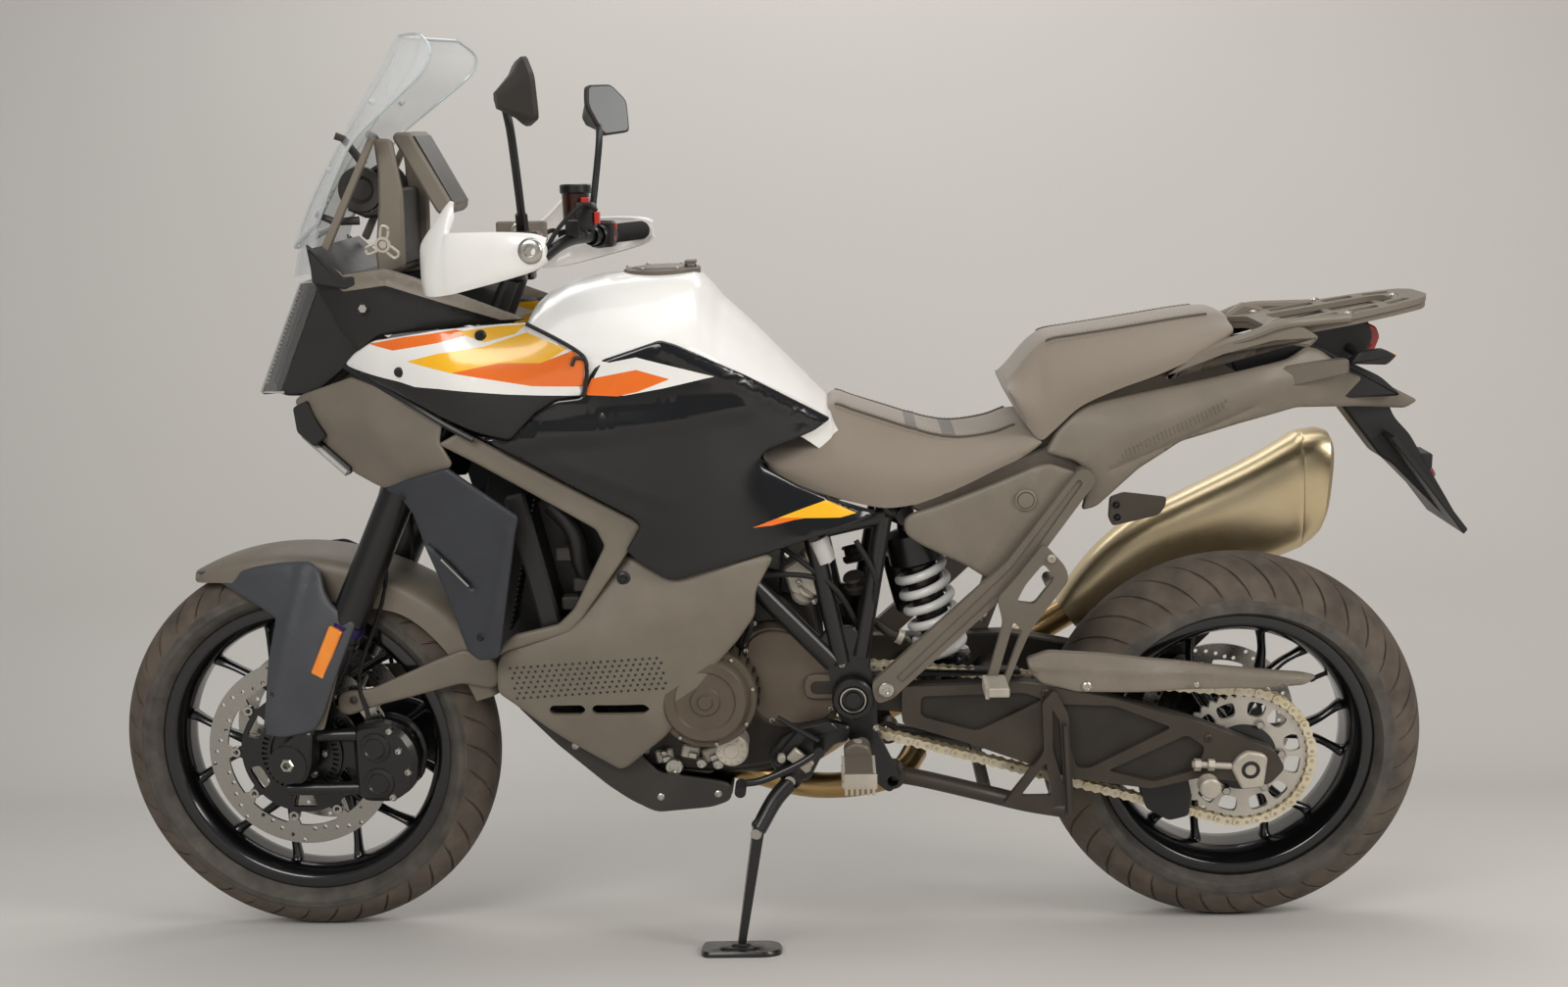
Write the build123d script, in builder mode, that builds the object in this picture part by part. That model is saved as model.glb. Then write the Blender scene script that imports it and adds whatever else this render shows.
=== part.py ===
from build123d import *
from math import cos, radians, sin, sqrt, tan
import os

os.makedirs("parts", exist_ok=True)

# An adventure motorcycle, in millimetres. It is drawn upright: X runs rearwards from the front
# wheel's contact with the ground, Y to the rider's right and Z up. The last lines lean it on its
# side stand and move its origin to the middle of its base.

# ---------------------------------------------------------------- stance and running gear
wheelbase = 1557.0
rake = 24.7
fork_offset = 36.0
lean = 14.0
steer_rest = -4.6
turn_drop = 1.4
base_shift = (-795.3, 298.9)

front_radius = 325.3
front_half_width = 60.0
rear_radius = 318.0
rear_half_width = 85.0
front_height = front_radius - front_half_width + front_half_width / cos(radians(lean)) + turn_drop
rear_height = rear_radius - rear_half_width + rear_half_width / cos(radians(lean))

front_tyre_height = 75.3
rear_tyre_height = 90.0
rim_drop = 33.0
front_rim_radius = front_radius - front_tyre_height
front_rim_half = 43.0
front_well_radius = front_rim_radius - rim_drop
rear_rim_radius = rear_radius - rear_tyre_height
rear_rim_half = 64.0
rear_well_radius = rear_rim_radius - rim_drop
rim_wall = 7.0
tyre_wall = 10.0
spoke_pairs = 6
spoke_apex = 126.0
front_spread = 15.0
rear_spread = 11.0
spoke_width = 15.0
spoke_half = 11.0
hub_radius = 34.0
axle_radius = 12.5
axle_hole = 8.0
bearing_gap = 0.05

front_disc_radius = 160.0
front_disc_inner = 127.0
front_disc_y = 62.0
rear_disc_radius = 133.0
rear_disc_inner = 104.0
rear_disc_y = 88.0
disc_thickness = 5.0
fender_inner = 71.0
carrier_thickness = 7.0
running_gap = 6.0

leg_y = 105.0
leg_radius = 24.0
outer_leg_radius = 29.0
outer_leg_start = 225.0
yoke_low = 560.0
yoke_high = 760.0
yoke_thickness = 36.0
yoke_reach = 36.0
stem_radius = 22.0

bar_radius = 11.0
bar_rise = 122.0
bar_end_x = 523.0
bar_end_y = 422.0
bar_end_z = 1174.0
grip_radius = 17.0
grip_length = 120.0

pivot_x = 922.0
pivot_z = 445.0
pivot_hole = 11.0
arm_inner = 122.0
arm_outer = 156.0
arm_wall = 7.0

sprocket_y = -104.0
sprocket_radius = 100.0
sprocket_hole = 52.0
sprocket_thickness = 8.0
chain_gap = 5.6
chain_height = 13.0
chain_width = 21.0
front_chain_radius = 38.0
countershaft_x = 842.0
countershaft_z = 450.0

stand_pivot = (825.0, -178.0, 326.0)
stand_folded = (288.0, -33.0, -65.0)
stand_foot_x = 739.0
stand_foot_y = -278.0
stand_bar = 13.0
foot_length = 104.0
foot_width = 78.0
foot_thickness = 9.0
centre_pivot_x = 985.0
centre_pivot_z = 298.0
centre_leg_y = 106.0
centre_bar = 15.0
centre_reach = 285.0
stand_pin = 9.0

panel_wall = 12.0

rear_x = wheelbase
rear_z = rear_height
steer_foot = Vector(
    fork_offset * cos(radians(rake)), 0, front_height - fork_offset * sin(radians(rake))
)
steer_way = Vector(sin(radians(rake)), 0, cos(radians(rake)))


def side(y):
    """a sketch plane at y that shows the motorcycle from its left: X to the rear, Z up"""
    return Plane(origin=(0, y, 0), x_dir=(1, 0, 0), z_dir=(0, -1, 0))


def slab(outline, inner, outer, mode=Mode.ADD, radius=0):
    """an outline in X and Z, carried from inner to outer across the motorcycle"""
    with BuildSketch(side(inner)) as face:
        with BuildLine():
            if radius:
                FilletPolyline(*outline, radius=radius, close=True)
            else:
                Polyline(*outline, close=True)
        make_face()
    extrude(face.sketch, amount=inner - outer, mode=mode)


def pair(outline, inner, outer, radius=0):
    """the same slab on the left and on the right"""
    slab(outline, -inner, -outer, radius=radius)
    slab(outline, outer, inner, radius=radius)


def panel(outline, plan, wall, mode=Mode.INTERSECT):
    """a skin: a band along the plan of (x, y) points, cut to its outline as seen from the side"""
    low = min(z for x, z in outline) - 1
    high = max(z for x, z in outline) + 1
    with BuildSketch(Plane.XY.offset(low)) as band:
        with BuildLine() as path:
            Polyline(*plan)
        trace(path.line, line_width=wall)
    extrude(band.sketch, amount=high - low)
    widest = max(abs(y) for x, y in plan) + wall
    slab(outline, widest, -widest, mode=mode)


def rod(start, end, radius, mode=Mode.ADD):
    """a round bar from one point to another"""
    run = Vector(*end) - Vector(*start)
    with Locations(Plane(origin=start, z_dir=run).location):
        Cylinder(radius, run.length, align=(Align.CENTER, Align.CENTER, Align.MIN), mode=mode)


def bent_rod(points, radius):
    """round bars from point to point, with a ball at each bend"""
    for start, end in zip(points, points[1:]):
        rod(start, end, radius)
    for bend in points[1:-1]:
        with Locations(bend):
            Sphere(radius)


def disc(x, z, y, thickness, radius, mode=Mode.ADD):
    """a round plate square to Y, centred on y"""
    rod((x, y + thickness / 2, z), (x, y - thickness / 2, z), radius, mode)


def on_leg(along, y=0.0, ahead=0.0):
    """a point beside the fork: so far up from the axle, across, and ahead of the legs"""
    return (
        along * sin(radians(rake)) - ahead * cos(radians(rake)),
        y,
        front_height + along * cos(radians(rake)) + ahead * sin(radians(rake)),
    )


def over_axle(*outline):
    """points given from the front axle, as points of the motorcycle"""
    return [(x, front_height + z) for x, z in outline]


def wheel(x, z, rim_radius, well_radius, rim_half, spread, hub_half):
    """a cast wheel: its rim, a hub with the axle's bore, and pairs of V spokes"""
    flange = rim_radius - 2 * rim_wall
    section = (
        (rim_half, rim_radius),
        (rim_half - rim_wall, rim_radius),
        (rim_half - rim_wall - 2, flange),
        (rim_half * 0.45, well_radius + rim_wall),
        (-rim_half * 0.45, well_radius + rim_wall),
        (-rim_half + rim_wall + 2, flange),
        (-rim_half + rim_wall, rim_radius),
        (-rim_half, rim_radius),
        (-rim_half, flange - rim_wall),
        (-rim_half * 0.55, well_radius),
        (rim_half * 0.55, well_radius),
        (rim_half, flange - rim_wall),
    )
    with BuildSketch(Plane(origin=(x, 0, z), x_dir=(0, 1, 0), z_dir=(1, 0, 0))) as ring:
        with BuildLine():
            Polyline(*section, close=True)
        make_face()
    revolve(ring.sketch, axis=Axis((x, 0, z), (0, 1, 0)))
    reach = well_radius + rim_wall / 2
    across = reach * sin(radians(spread))
    out = reach * cos(radians(spread))
    with BuildSketch(Plane(origin=(x, spoke_half, z), x_dir=(1, 0, 0), z_dir=(0, -1, 0))) as star:
        with PolarLocations(0, spoke_pairs, start_angle=3):
            with BuildLine():
                Polyline(
                    (hub_radius / 2, -spoke_width * 0.8),
                    (spoke_apex - spoke_width, -spoke_width * 0.6),
                    (out, -across - spoke_width / 2),
                    (out + spoke_width / 4, -across + spoke_width / 2),
                    (spoke_apex + spoke_width, 0),
                    (out + spoke_width / 4, across - spoke_width / 2),
                    (out, across + spoke_width / 2),
                    (spoke_apex - spoke_width, spoke_width * 0.6),
                    (hub_radius / 2, spoke_width * 0.8),
                    close=True,
                )
            make_face()
    extrude(star.sketch, amount=2 * spoke_half)
    disc(x, z, 0, 2 * hub_half, hub_radius)
    disc(x, z, 0, 2 * hub_half + 2, axle_radius + bearing_gap, Mode.SUBTRACT)


def tyre(x, z, outer_radius, half_width, rim_radius, rim_half):
    """a tyre: a round crown and two sidewalls that close on the rim's flanges"""
    seat = rim_radius + 0.3
    crown_low = outer_radius - half_width * 0.72
    crown_side = half_width * 0.95
    bulge = (outer_radius - half_width * 0.95, half_width)
    with BuildSketch(Plane(origin=(x, 0, z), x_dir=(0, 1, 0), z_dir=(1, 0, 0))) as ring:
        with BuildLine():
            ThreePointArc((-crown_side, crown_low), (0, outer_radius), (crown_side, crown_low))
            Polyline((crown_side, crown_low), (bulge[1], bulge[0]), (rim_half, seat))
            Line((rim_half, seat), (rim_half - tyre_wall, seat))
            Polyline(
                (rim_half - tyre_wall, seat),
                (crown_side - tyre_wall, crown_low - tyre_wall),
                (0, outer_radius - 1.5 * tyre_wall),
                (-crown_side + tyre_wall, crown_low - tyre_wall),
                (-rim_half + tyre_wall, seat),
            )
            Line((-rim_half + tyre_wall, seat), (-rim_half, seat))
            Polyline((-rim_half, seat), (-bulge[1], bulge[0]), (-crown_side, crown_low))
        make_face()
    revolve(ring.sketch, axis=Axis((x, 0, z), (0, 1, 0)))


def brake_disc(x, z, y, outer, inner, bore, hub_side):
    """a brake disc with its carrier, whose boss seats on the hub"""
    disc(x, z, y, disc_thickness, outer)
    disc(x, z, y, disc_thickness * 2, inner, Mode.SUBTRACT)
    disc(x, z, y, carrier_thickness, inner - 14)
    with BuildSketch(Plane(origin=(x, y + disc_thickness / 2, z), x_dir=(1, 0, 0), z_dir=(0, -1, 0))) as arms:
        with PolarLocations((inner + outer) / 2 - 14, 9):
            Rectangle(36, 16)
    extrude(arms.sketch, amount=disc_thickness)
    with BuildSketch(Plane(origin=(x, y + carrier_thickness, z), x_dir=(1, 0, 0), z_dir=(0, -1, 0))) as windows:
        with PolarLocations((inner + bore) / 2, 6):
            RectangleRounded(34, 44, 8)
    extrude(windows.sketch, amount=carrier_thickness * 2, mode=Mode.SUBTRACT)
    rod((x, hub_side, z), (x, y, z), bore + 12)
    disc(x, z, y, 3 * abs(y), bore, Mode.SUBTRACT)


# ---------------------------------------------------------------- front wheel
front_hub_half = front_disc_y - carrier_thickness - 4
with BuildPart() as front_wheel:
    wheel(0, front_height, front_rim_radius, front_well_radius, front_rim_half, front_spread, front_hub_half)
with BuildPart() as front_tyre:
    tyre(0, front_height, front_radius, front_half_width, front_rim_radius, front_rim_half)
with BuildPart() as front_discs:
    for way in (-1, 1):
        brake_disc(
            0, front_height, way * front_disc_y, front_disc_radius, front_disc_inner,
            axle_radius + 3, way * front_hub_half,
        )

# ---------------------------------------------------------------- rear wheel
rear_hub_half = 74.0
with BuildPart() as rear_wheel:
    wheel(rear_x, rear_z, rear_rim_radius, rear_well_radius, rear_rim_half, rear_spread, rear_hub_half)
with BuildPart() as rear_tyre:
    tyre(rear_x, rear_z, rear_radius, rear_half_width, rear_rim_radius, rear_rim_half)
with BuildPart() as rear_disc:
    brake_disc(
        rear_x, rear_z, rear_disc_y, rear_disc_radius, rear_disc_inner, axle_radius + 3, rear_hub_half
    )
with BuildPart() as sprocket:
    disc(rear_x, rear_z, sprocket_y, sprocket_thickness, sprocket_radius)
    with BuildSketch(side(sprocket_y + sprocket_thickness)) as windows:
        with Locations((rear_x, rear_z)):
            with PolarLocations(76, 12):
                RectangleRounded(22, 24, 7)
    extrude(windows.sketch, amount=2 * sprocket_thickness, mode=Mode.SUBTRACT)
    rod((rear_x, -rear_hub_half, rear_z), (rear_x, sprocket_y, rear_z), sprocket_hole)
    disc(rear_x, rear_z, sprocket_y, 200, axle_radius + 3, Mode.SUBTRACT)

# ---------------------------------------------------------------- fork, yokes and front axle
with BuildPart() as fork:
    for way in (-1, 1):
        rod(on_leg(-12, way * leg_y), on_leg(outer_leg_start, way * leg_y), leg_radius)
        rod(on_leg(outer_leg_start, way * leg_y), on_leg(yoke_high + 30, way * leg_y), outer_leg_radius)
        disc(0, front_height, way * leg_y, 50, 32)
    for along in (yoke_low, yoke_high):
        start = on_leg(along - yoke_thickness / 2)
        with BuildSketch(Plane(origin=start, x_dir=(0, 1, 0), z_dir=steer_way)) as yoke:
            with Locations((leg_y, 0), (-leg_y, 0)):
                Circle(36)
            with Locations((0, -fork_offset)):
                Circle(34)
            make_hull()
        extrude(yoke.sketch, amount=yoke_thickness)
    rod(on_leg(yoke_low, 0, -fork_offset), on_leg(yoke_high, 0, -fork_offset), stem_radius)
    disc(0, front_height, 0, 2 * leg_y + 44, axle_radius)
    disc(0, front_height, 0, 2 * leg_y + 60, axle_hole, Mode.SUBTRACT)

with BuildPart() as front_callipers:
    for way in (-1, 1):
        with BuildSketch(side(way * 80 + 29)) as body:
            with BuildLine():
                FilletPolyline(
                    (100, front_height + 62), (190, front_height + 62), (212, front_height + 10),
                    (205, front_height - 45), (160, front_height - 72), (100, front_height - 72),
                    radius=12, close=True,
                )
            make_face()
        extrude(body.sketch, amount=58)
        disc(0, front_height, way * front_disc_y, disc_thickness + 2 * running_gap, front_disc_radius + 8,
             Mode.SUBTRACT)
        for rise in (-50, 42):
            rod((100, way * leg_y, front_height + rise), (8 + rise * 0.3, way * leg_y, front_height + rise), 9)
    add(fork.part, mode=Mode.SUBTRACT)

with BuildPart() as front_fender:
    band_out = front_radius + 38
    with BuildSketch(Plane(origin=(0, 0, front_height), x_dir=(0, 1, 0), z_dir=(1, 0, 0))) as arch:
        with BuildLine():
            Polyline(
                (-78, 250), (-78, band_out - 30), (-40, band_out), (40, band_out), (78, band_out - 30), (78, 250),
                (74, 250), (74, band_out - 32), (38, band_out - 5), (-38, band_out - 5), (-74, band_out - 32),
                (-74, 250), close=True,
            )
        make_face()
    revolve(arch.sketch, axis=Axis((0, 0, front_height), (0, 1, 0)))
    slab(
        over_axle((-175, 312), (-80, 232), (-15, 272), (110, 272), (240, 217), (350, 52), (430, 72), (400, 442),
                  (-175, 442)),
        200, -200, Mode.INTERSECT,
    )
    pair(
        over_axle((-40, 47), (5, 42), (45, 57), (110, 217), (75, 282), (60, 337), (20, 362), (-60, 312), (-20, 232)),
        fender_inner, fender_inner + 8,
    )
    pair(over_axle((70, 127), (110, 112), (290, 152), (300, 232), (240, 217), (225, 177)), fender_inner, fender_inner + 8)
    add(fork.part, mode=Mode.SUBTRACT)

# ---------------------------------------------------------------- handlebar, guards and mirrors
clamp_top = on_leg(yoke_high + bar_rise, 0, -fork_offset + 12)
bar_route = [
    (bar_end_x, -bar_end_y, bar_end_z), (bar_end_x - 88, -165, bar_end_z - 6), (clamp_top[0], -60, clamp_top[2]),
    (clamp_top[0], 60, clamp_top[2]), (bar_end_x - 88, 165, bar_end_z - 6), (bar_end_x, bar_end_y, bar_end_z),
]
with BuildPart() as handlebar:
    with BuildLine() as bar:
        FilletPolyline(*bar_route, radius=40)
    with BuildSketch(Plane(origin=bar_route[0], z_dir=Vector(*bar_route[1]) - Vector(*bar_route[0]))) as section:
        Circle(bar_radius)
    sweep(section.sketch, path=bar.line)
    for way in (-1, 1):
        rise = (bar_end_x - 88, way * 165, bar_end_z - 6)
        tip = (bar_end_x, way * bar_end_y, bar_end_z)
        inner = Vector(*tip) + (Vector(*rise) - Vector(*tip)).normalized() * grip_length
        rod(tuple(inner), tip, grip_radius)
        near = Vector(*tip) + (Vector(*rise) - Vector(*tip)).normalized() * (grip_length + 60)
        rod(tuple(near), tuple(inner), 25)
        rod(tuple(near - Vector(14, 0, 0)), (near.X - 95, way * 385, near.Z - 6), 7)
        rod((clamp_top[0], way * 30, clamp_top[2]), on_leg(yoke_high + yoke_thickness / 2 + 1, way * 30, -fork_offset + 12), 15)
    with Locations((446, 214, 1222)):
        Cylinder(24, 60)
    rod((453, 214, 1170), (446, 214, 1198), 14)

guard_side = (
    (332, 1122), (352, 1110), (545, 1148), (560, 1172), (540, 1196), (432, 1196), (384, 1198),
    (400, 1243), (374, 1222), (345, 1186), (328, 1165),
)
with BuildPart() as handguards:
    for way in (-1, 1):
        with BuildSketch(Plane.XY.offset(1100)) as band:
            with BuildLine() as path:
                FilletPolyline(
                    (bar_end_x - 10, way * (bar_end_y + 16)), (450, way * (bar_end_y + 6)), (352, way * 385),
                    (330, way * 265), radius=40,
                )
            trace(path.line, line_width=9)
        extrude(band.sketch, amount=160)
    slab(guard_side, 480, -480, Mode.INTERSECT)
    for way in (-1, 1):
        rod((bar_end_x, way * (bar_end_y - 6), bar_end_z), (bar_end_x, way * (bar_end_y + 24), bar_end_z), 15)
    add(handlebar.part, mode=Mode.SUBTRACT)

with BuildPart() as mirrors:
    for way in (-1, 1):
        foot = (462, way * 240, 1172)
        top = (478, way * 350, 1392)
        rod(foot, top, 7)
        with BuildSketch(Plane(origin=(470, way * 385, 1392), x_dir=(0, 1, 0), z_dir=(1, 0, 0.12))) as shell:
            with BuildLine():
                Polyline(
                    (-62 * way, 5), (-50 * way, 42), (30 * way, 46), (72 * way, 18), (60 * way, -40),
                    (-30 * way, -48), close=True,
                )
            make_face()
        extrude(shell.sketch, amount=26)
    add(handlebar.part, mode=Mode.SUBTRACT)

# ---------------------------------------------------------------- frame, subframe and engine
head_low = on_leg(yoke_low + yoke_thickness / 2 + 6, 0, -fork_offset)
head_high = on_leg(yoke_high - yoke_thickness / 2 - 6, 0, -fork_offset)
with BuildPart() as frame:
    rod(head_low, head_high, 36)
    for way in (-1, 1):
        bent_rod([(300, way * 25, 880), (480, way * 128, 800), (760, way * 142, 640), (890, way * 134, 500)], 16)
        bent_rod([(342, way * 25, 952), (520, way * 105, 920), (860, way * 134, 715), (905, way * 134, 500)], 15)
        rod((480, way * 128, 800), (520, way * 105, 920), 12)
        rod((975, way * 112, 735), (935, way * 134, 510), 14)
        rod((860, way * 134, 715), (975, way * 112, 735), 13)
        slab(
            ((880, 500), (935, 520), (958, 470), (962, 380), (1000, 300), (980, 278), (940, 310), (895, 420)),
            way * 134 + 7, way * 134 - 7, radius=8,
        )
    rod((pivot_x, -152, pivot_z), (pivot_x, 152, pivot_z), 18)
    rod((pivot_x, -156, pivot_z), (pivot_x, -127, pivot_z), 32)
    rod((pivot_x, 127, pivot_z), (pivot_x, 156, pivot_z), 32)
    rod((975, -112, 735), (975, 112, 735), 13)
    slab(((300, 893), (322, 930), (150, 1030), (150, 985)), 18, -18)
    disc(pivot_x, pivot_z, 0, 330, pivot_hole, Mode.SUBTRACT)
    disc(centre_pivot_x, centre_pivot_z, 0, 330, stand_pin + bearing_gap, Mode.SUBTRACT)
    rod(on_leg(yoke_low, 0, -fork_offset), on_leg(yoke_high, 0, -fork_offset), stem_radius + bearing_gap, Mode.SUBTRACT)

with BuildPart() as subframe:
    pair(((962, 440), (985, 448), (1190, 640), (1300, 800), (1275, 815), (1165, 665), (950, 470)), 142, 160)
    pair(
        ((1010, 765), (1215, 835), (1290, 870), (1600, 965), (1700, 975), (1700, 950), (1420, 875), (1290, 790),
         (1235, 805), (1030, 740)),
        92, 116,
    )
    for x, z, reach in ((1050, 765, 95), (1283, 806, 155), (1560, 945, 95)):
        rod((x, -reach, z), (x, reach, z), 9)

run_x = rear_x - countershaft_x
run_z = rear_z - countershaft_z
run = sqrt(run_x ** 2 + run_z ** 2)
big = sprocket_radius + chain_gap
small = front_chain_radius


def belt(extra):
    """the outline round both sprockets, extra outside the chain's inner line"""
    with BuildSketch(Plane.XY) as loop:
        with Locations((0, 0)):
            Circle(small + extra)
        with Locations((run, 0)):
            Circle(big + extra)
        tilt = (big - small) / run
        up = sqrt(1 - tilt ** 2)
        with BuildLine():
            Polyline(
                (-tilt * (small + extra), up * (small + extra)),
                (run - tilt * (big + extra), up * (big + extra)),
                (run - tilt * (big + extra), -up * (big + extra)),
                (-tilt * (small + extra), -up * (small + extra)),
                close=True,
            )
        make_face()
    return loop.sketch


def chain_plane(half):
    """the plane of the chain's inner side, half its width from the sprockets' middle"""
    return Plane(
        origin=(countershaft_x, sprocket_y + half, countershaft_z), x_dir=(run_x, 0, run_z), z_dir=(0, -1, 0)
    )


def over_chain(*outline):
    """points given from the chain's upper run, as points of the motorcycle"""
    front = countershaft_z + small + chain_height
    back = rear_z + big + chain_height
    return [(x, front + (back - front) * (x - countershaft_x) / run_x + rise) for x, rise in outline]


with BuildPart() as chain:
    extrude(chain_plane(chain_width / 2) * belt(chain_height), amount=chain_width)
    extrude(chain_plane(chain_width / 2) * belt(0), amount=chain_width, mode=Mode.SUBTRACT)

with BuildPart() as engine:
    slab(
        ((540, 600), (700, 640), (850, 590), (872, 500), (872, 350), (760, 318), (600, 322), (545, 420)),
        112, -82, radius=16,
    )
    slab(((540, 600), (700, 640), (770, 590), (770, 330), (600, 322), (545, 420)), -80, -112)
    slab(((560, 610), (770, 650), (800, 560), (560, 560)), 90, -90)
    for x, z, radius, reach in ((685, 465, 82, 205), (820, 478, 66, 178), (725, 362, 26, 165)):
        rod((x, -79, z), (x, -reach, z), radius)
    for x, z, radius, reach in ((700, 470, 90, 200), (820, 440, 50, 170)):
        rod((x, 100, z), (x, reach, z), radius)
    extrude(
        chain_plane(chain_width / 2 + 4) * belt(chain_height + 4), amount=chain_width + 8, mode=Mode.SUBTRACT
    )
    add(frame.part, mode=Mode.SUBTRACT)

# ---------------------------------------------------------------- tank, cowls and panels
with BuildPart() as fuel_tank:
    with BuildSketch(Plane.XY.offset(600)) as plan:
        with BuildLine():
            Polyline(
                (420, -45), (480, -140), (560, -190), (680, -195), (800, -160), (900, -90), (900, 90), (800, 160),
                (680, 195), (560, 190), (480, 140), (420, 45), close=True,
            )
        make_face()
    extrude(plan.sketch, amount=600)
    slab(
        (
            (425, 1066), (480, 1100), (560, 1118), (690, 1122), (740, 1080), (810, 1015), (865, 955), (893, 905),
            (880, 860), (790, 820), (760, 720), (600, 700), (520, 850), (455, 930),
        ),
        300, -300, Mode.INTERSECT,
    )
    with BuildSketch(Plane(origin=(0, 0, 0), x_dir=(0, 1, 0), z_dir=(1, 0, 0))) as front_view:
        with BuildLine():
            Polyline(
                (-200, 600), (-200, 950), (-130, 1065), (-70, 1125), (70, 1125), (130, 1065), (200, 950), (200, 600),
                close=True,
            )
        make_face()
    extrude(front_view.sketch, amount=1000, mode=Mode.INTERSECT)
    with Locations((640, 0, 1122)):
        Cylinder(55, 20)
    add(frame.part, mode=Mode.SUBTRACT)

with BuildPart() as shrouds:
    panel(
        (
            (168, 1018), (200, 1040), (300, 1055), (440, 1065), (510, 1030), (520, 1005), (600, 1015), (720, 975),
            (620, 950), (560, 890), (500, 855), (400, 885), (290, 930), (155, 1005),
        ),
        ((140, -105), (200, -170), (330, -238), (470, -246), (600, -226), (740, -212)), panel_wall,
    )
    mirror(shrouds.part, about=Plane.XZ)
with BuildPart() as tank_sides:
    panel(
        (
            (520, 960), (620, 948), (760, 950), (880, 905), (915, 850), (900, 775), (790, 730), (660, 662),
            (590, 690), (575, 745), (470, 830),
        ),
        ((400, -222), (520, -222), (640, -210), (760, -190), (925, -145)), panel_wall,
    )
    mirror(tank_sides.part, about=Plane.XZ)
    add(frame.part, mode=Mode.SUBTRACT)
    add(shrouds.part, mode=Mode.SUBTRACT)
with BuildPart() as cowls:
    panel(
        ((78, 950), (155, 985), (225, 965), (300, 890), (315, 868), (300, 850), (205, 815), (160, 835), (100, 905)),
        ((60, -80), (90, -130), (160, -185), (240, -212), (340, -222)), panel_wall,
    )
    mirror(cowls.part, about=Plane.XZ)
with BuildPart() as fins:
    panel(
        ((205, 818), (300, 852), (405, 770), (398, 700), (365, 535), (325, 535), (275, 700), (232, 770)),
        ((180, -190), (260, -212), (430, -232)), 8,
    )
    mirror(fins.part, about=Plane.XZ)
    add(cowls.part, mode=Mode.SUBTRACT)
with BuildPart() as radiator_ducts:
    pair(
        (
            (300, 878), (345, 885), (590, 735), (575, 705), (500, 600), (400, 560), (380, 555), (385, 575), (480, 620),
            (535, 712), (520, 735), (298, 860),
        ),
        188, 215,
    )
    slab(((385, 560), (410, 555), (470, 790), (440, 800)), 190, -190)
    add(tank_sides.part, mode=Mode.SUBTRACT)
    add(fins.part, mode=Mode.SUBTRACT)
    add(cowls.part, mode=Mode.SUBTRACT)
    add(frame.part, mode=Mode.SUBTRACT)
    add(fuel_tank.part, mode=Mode.SUBTRACT)
with BuildPart() as side_panels:
    panel(
        ((360, 545), (480, 600), (560, 705), (655, 655), (805, 660), (760, 580), (690, 490), (640, 400), (560, 345),
         (420, 400), (365, 470)),
        ((340, -160), (420, -212), (560, -224), (700, -222), (830, -200)), panel_wall,
    )
    mirror(side_panels.part, about=Plane.XZ)
    for neighbour in (radiator_ducts, fins, tank_sides, engine):
        add(neighbour.part, mode=Mode.SUBTRACT)
with BuildPart() as headlight:
    slab(((-20, 945), (60, 1120), (100, 1125), (150, 1120), (150, 990), (70, 935), (10, 935)), 76, -76)
with BuildPart() as cockpit:
    pair(
        ((95, 1185), (150, 1135), (215, 1145), (310, 1108), (425, 1062), (340, 1060), (200, 1044), (165, 1022),
         (105, 1125)),
        154, 164,
    )
    slab(((95, 1185), (150, 1135), (212, 1145), (212, 1128), (150, 1112), (100, 1120)), 154, -154)
    add(headlight.part, mode=Mode.SUBTRACT)
    add(cowls.part, mode=Mode.SUBTRACT)
with BuildPart() as dash:
    slab(((202, 1340), (238, 1348), (305, 1200), (285, 1190), (212, 1300)), 96, -96)
    pair(((160, 1140), (175, 1330), (215, 1338), (216, 1180), (212, 1146)), 95, 104)
    for way in (-1, 1):
        rod((180, way * 99, 1310), (138, way * 99, 1310), 6)
        rod((170, way * 99, 1215), (96, way * 99, 1215), 6)
    add(cockpit.part, mode=Mode.SUBTRACT)
screen_foot = Vector(33, 0, 1150)
screen_way = Vector(195, 0, 345)
with BuildPart() as windscreen:
    with BuildSketch(Plane(origin=screen_foot, x_dir=(0, 1, 0), z_dir=screen_way)) as band:
        with BuildLine() as path:
            Polyline((-185, -80), (-110, -28), (0, 0), (110, -28), (185, -80))
        trace(path.line, line_width=5)
    extrude(band.sketch, amount=screen_way.length + 20)
    slab(((20, 1165), (70, 1195), (95, 1150), (400, 1400), (400, 1456), (300, 1470), (260, 1500), (0, 1500)),
         250, -250, Mode.INTERSECT)
    with BuildSketch(Plane(origin=(0, 0, 0), x_dir=(0, 1, 0), z_dir=(1, 0, 0))) as front_view:
        with BuildLine():
            Polyline((-95, 1150), (-120, 1200), (-150, 1345), (-182, 1450), (-165, 1480), (-100, 1500), (100, 1500),
                     (165, 1480), (182, 1450), (150, 1345), (120, 1200), (95, 1150), close=True)
        make_face()
    extrude(front_view.sketch, amount=600, mode=Mode.INTERSECT)
    for neighbour in (dash, cockpit, headlight):
        add(neighbour.part, mode=Mode.SUBTRACT)

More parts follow.
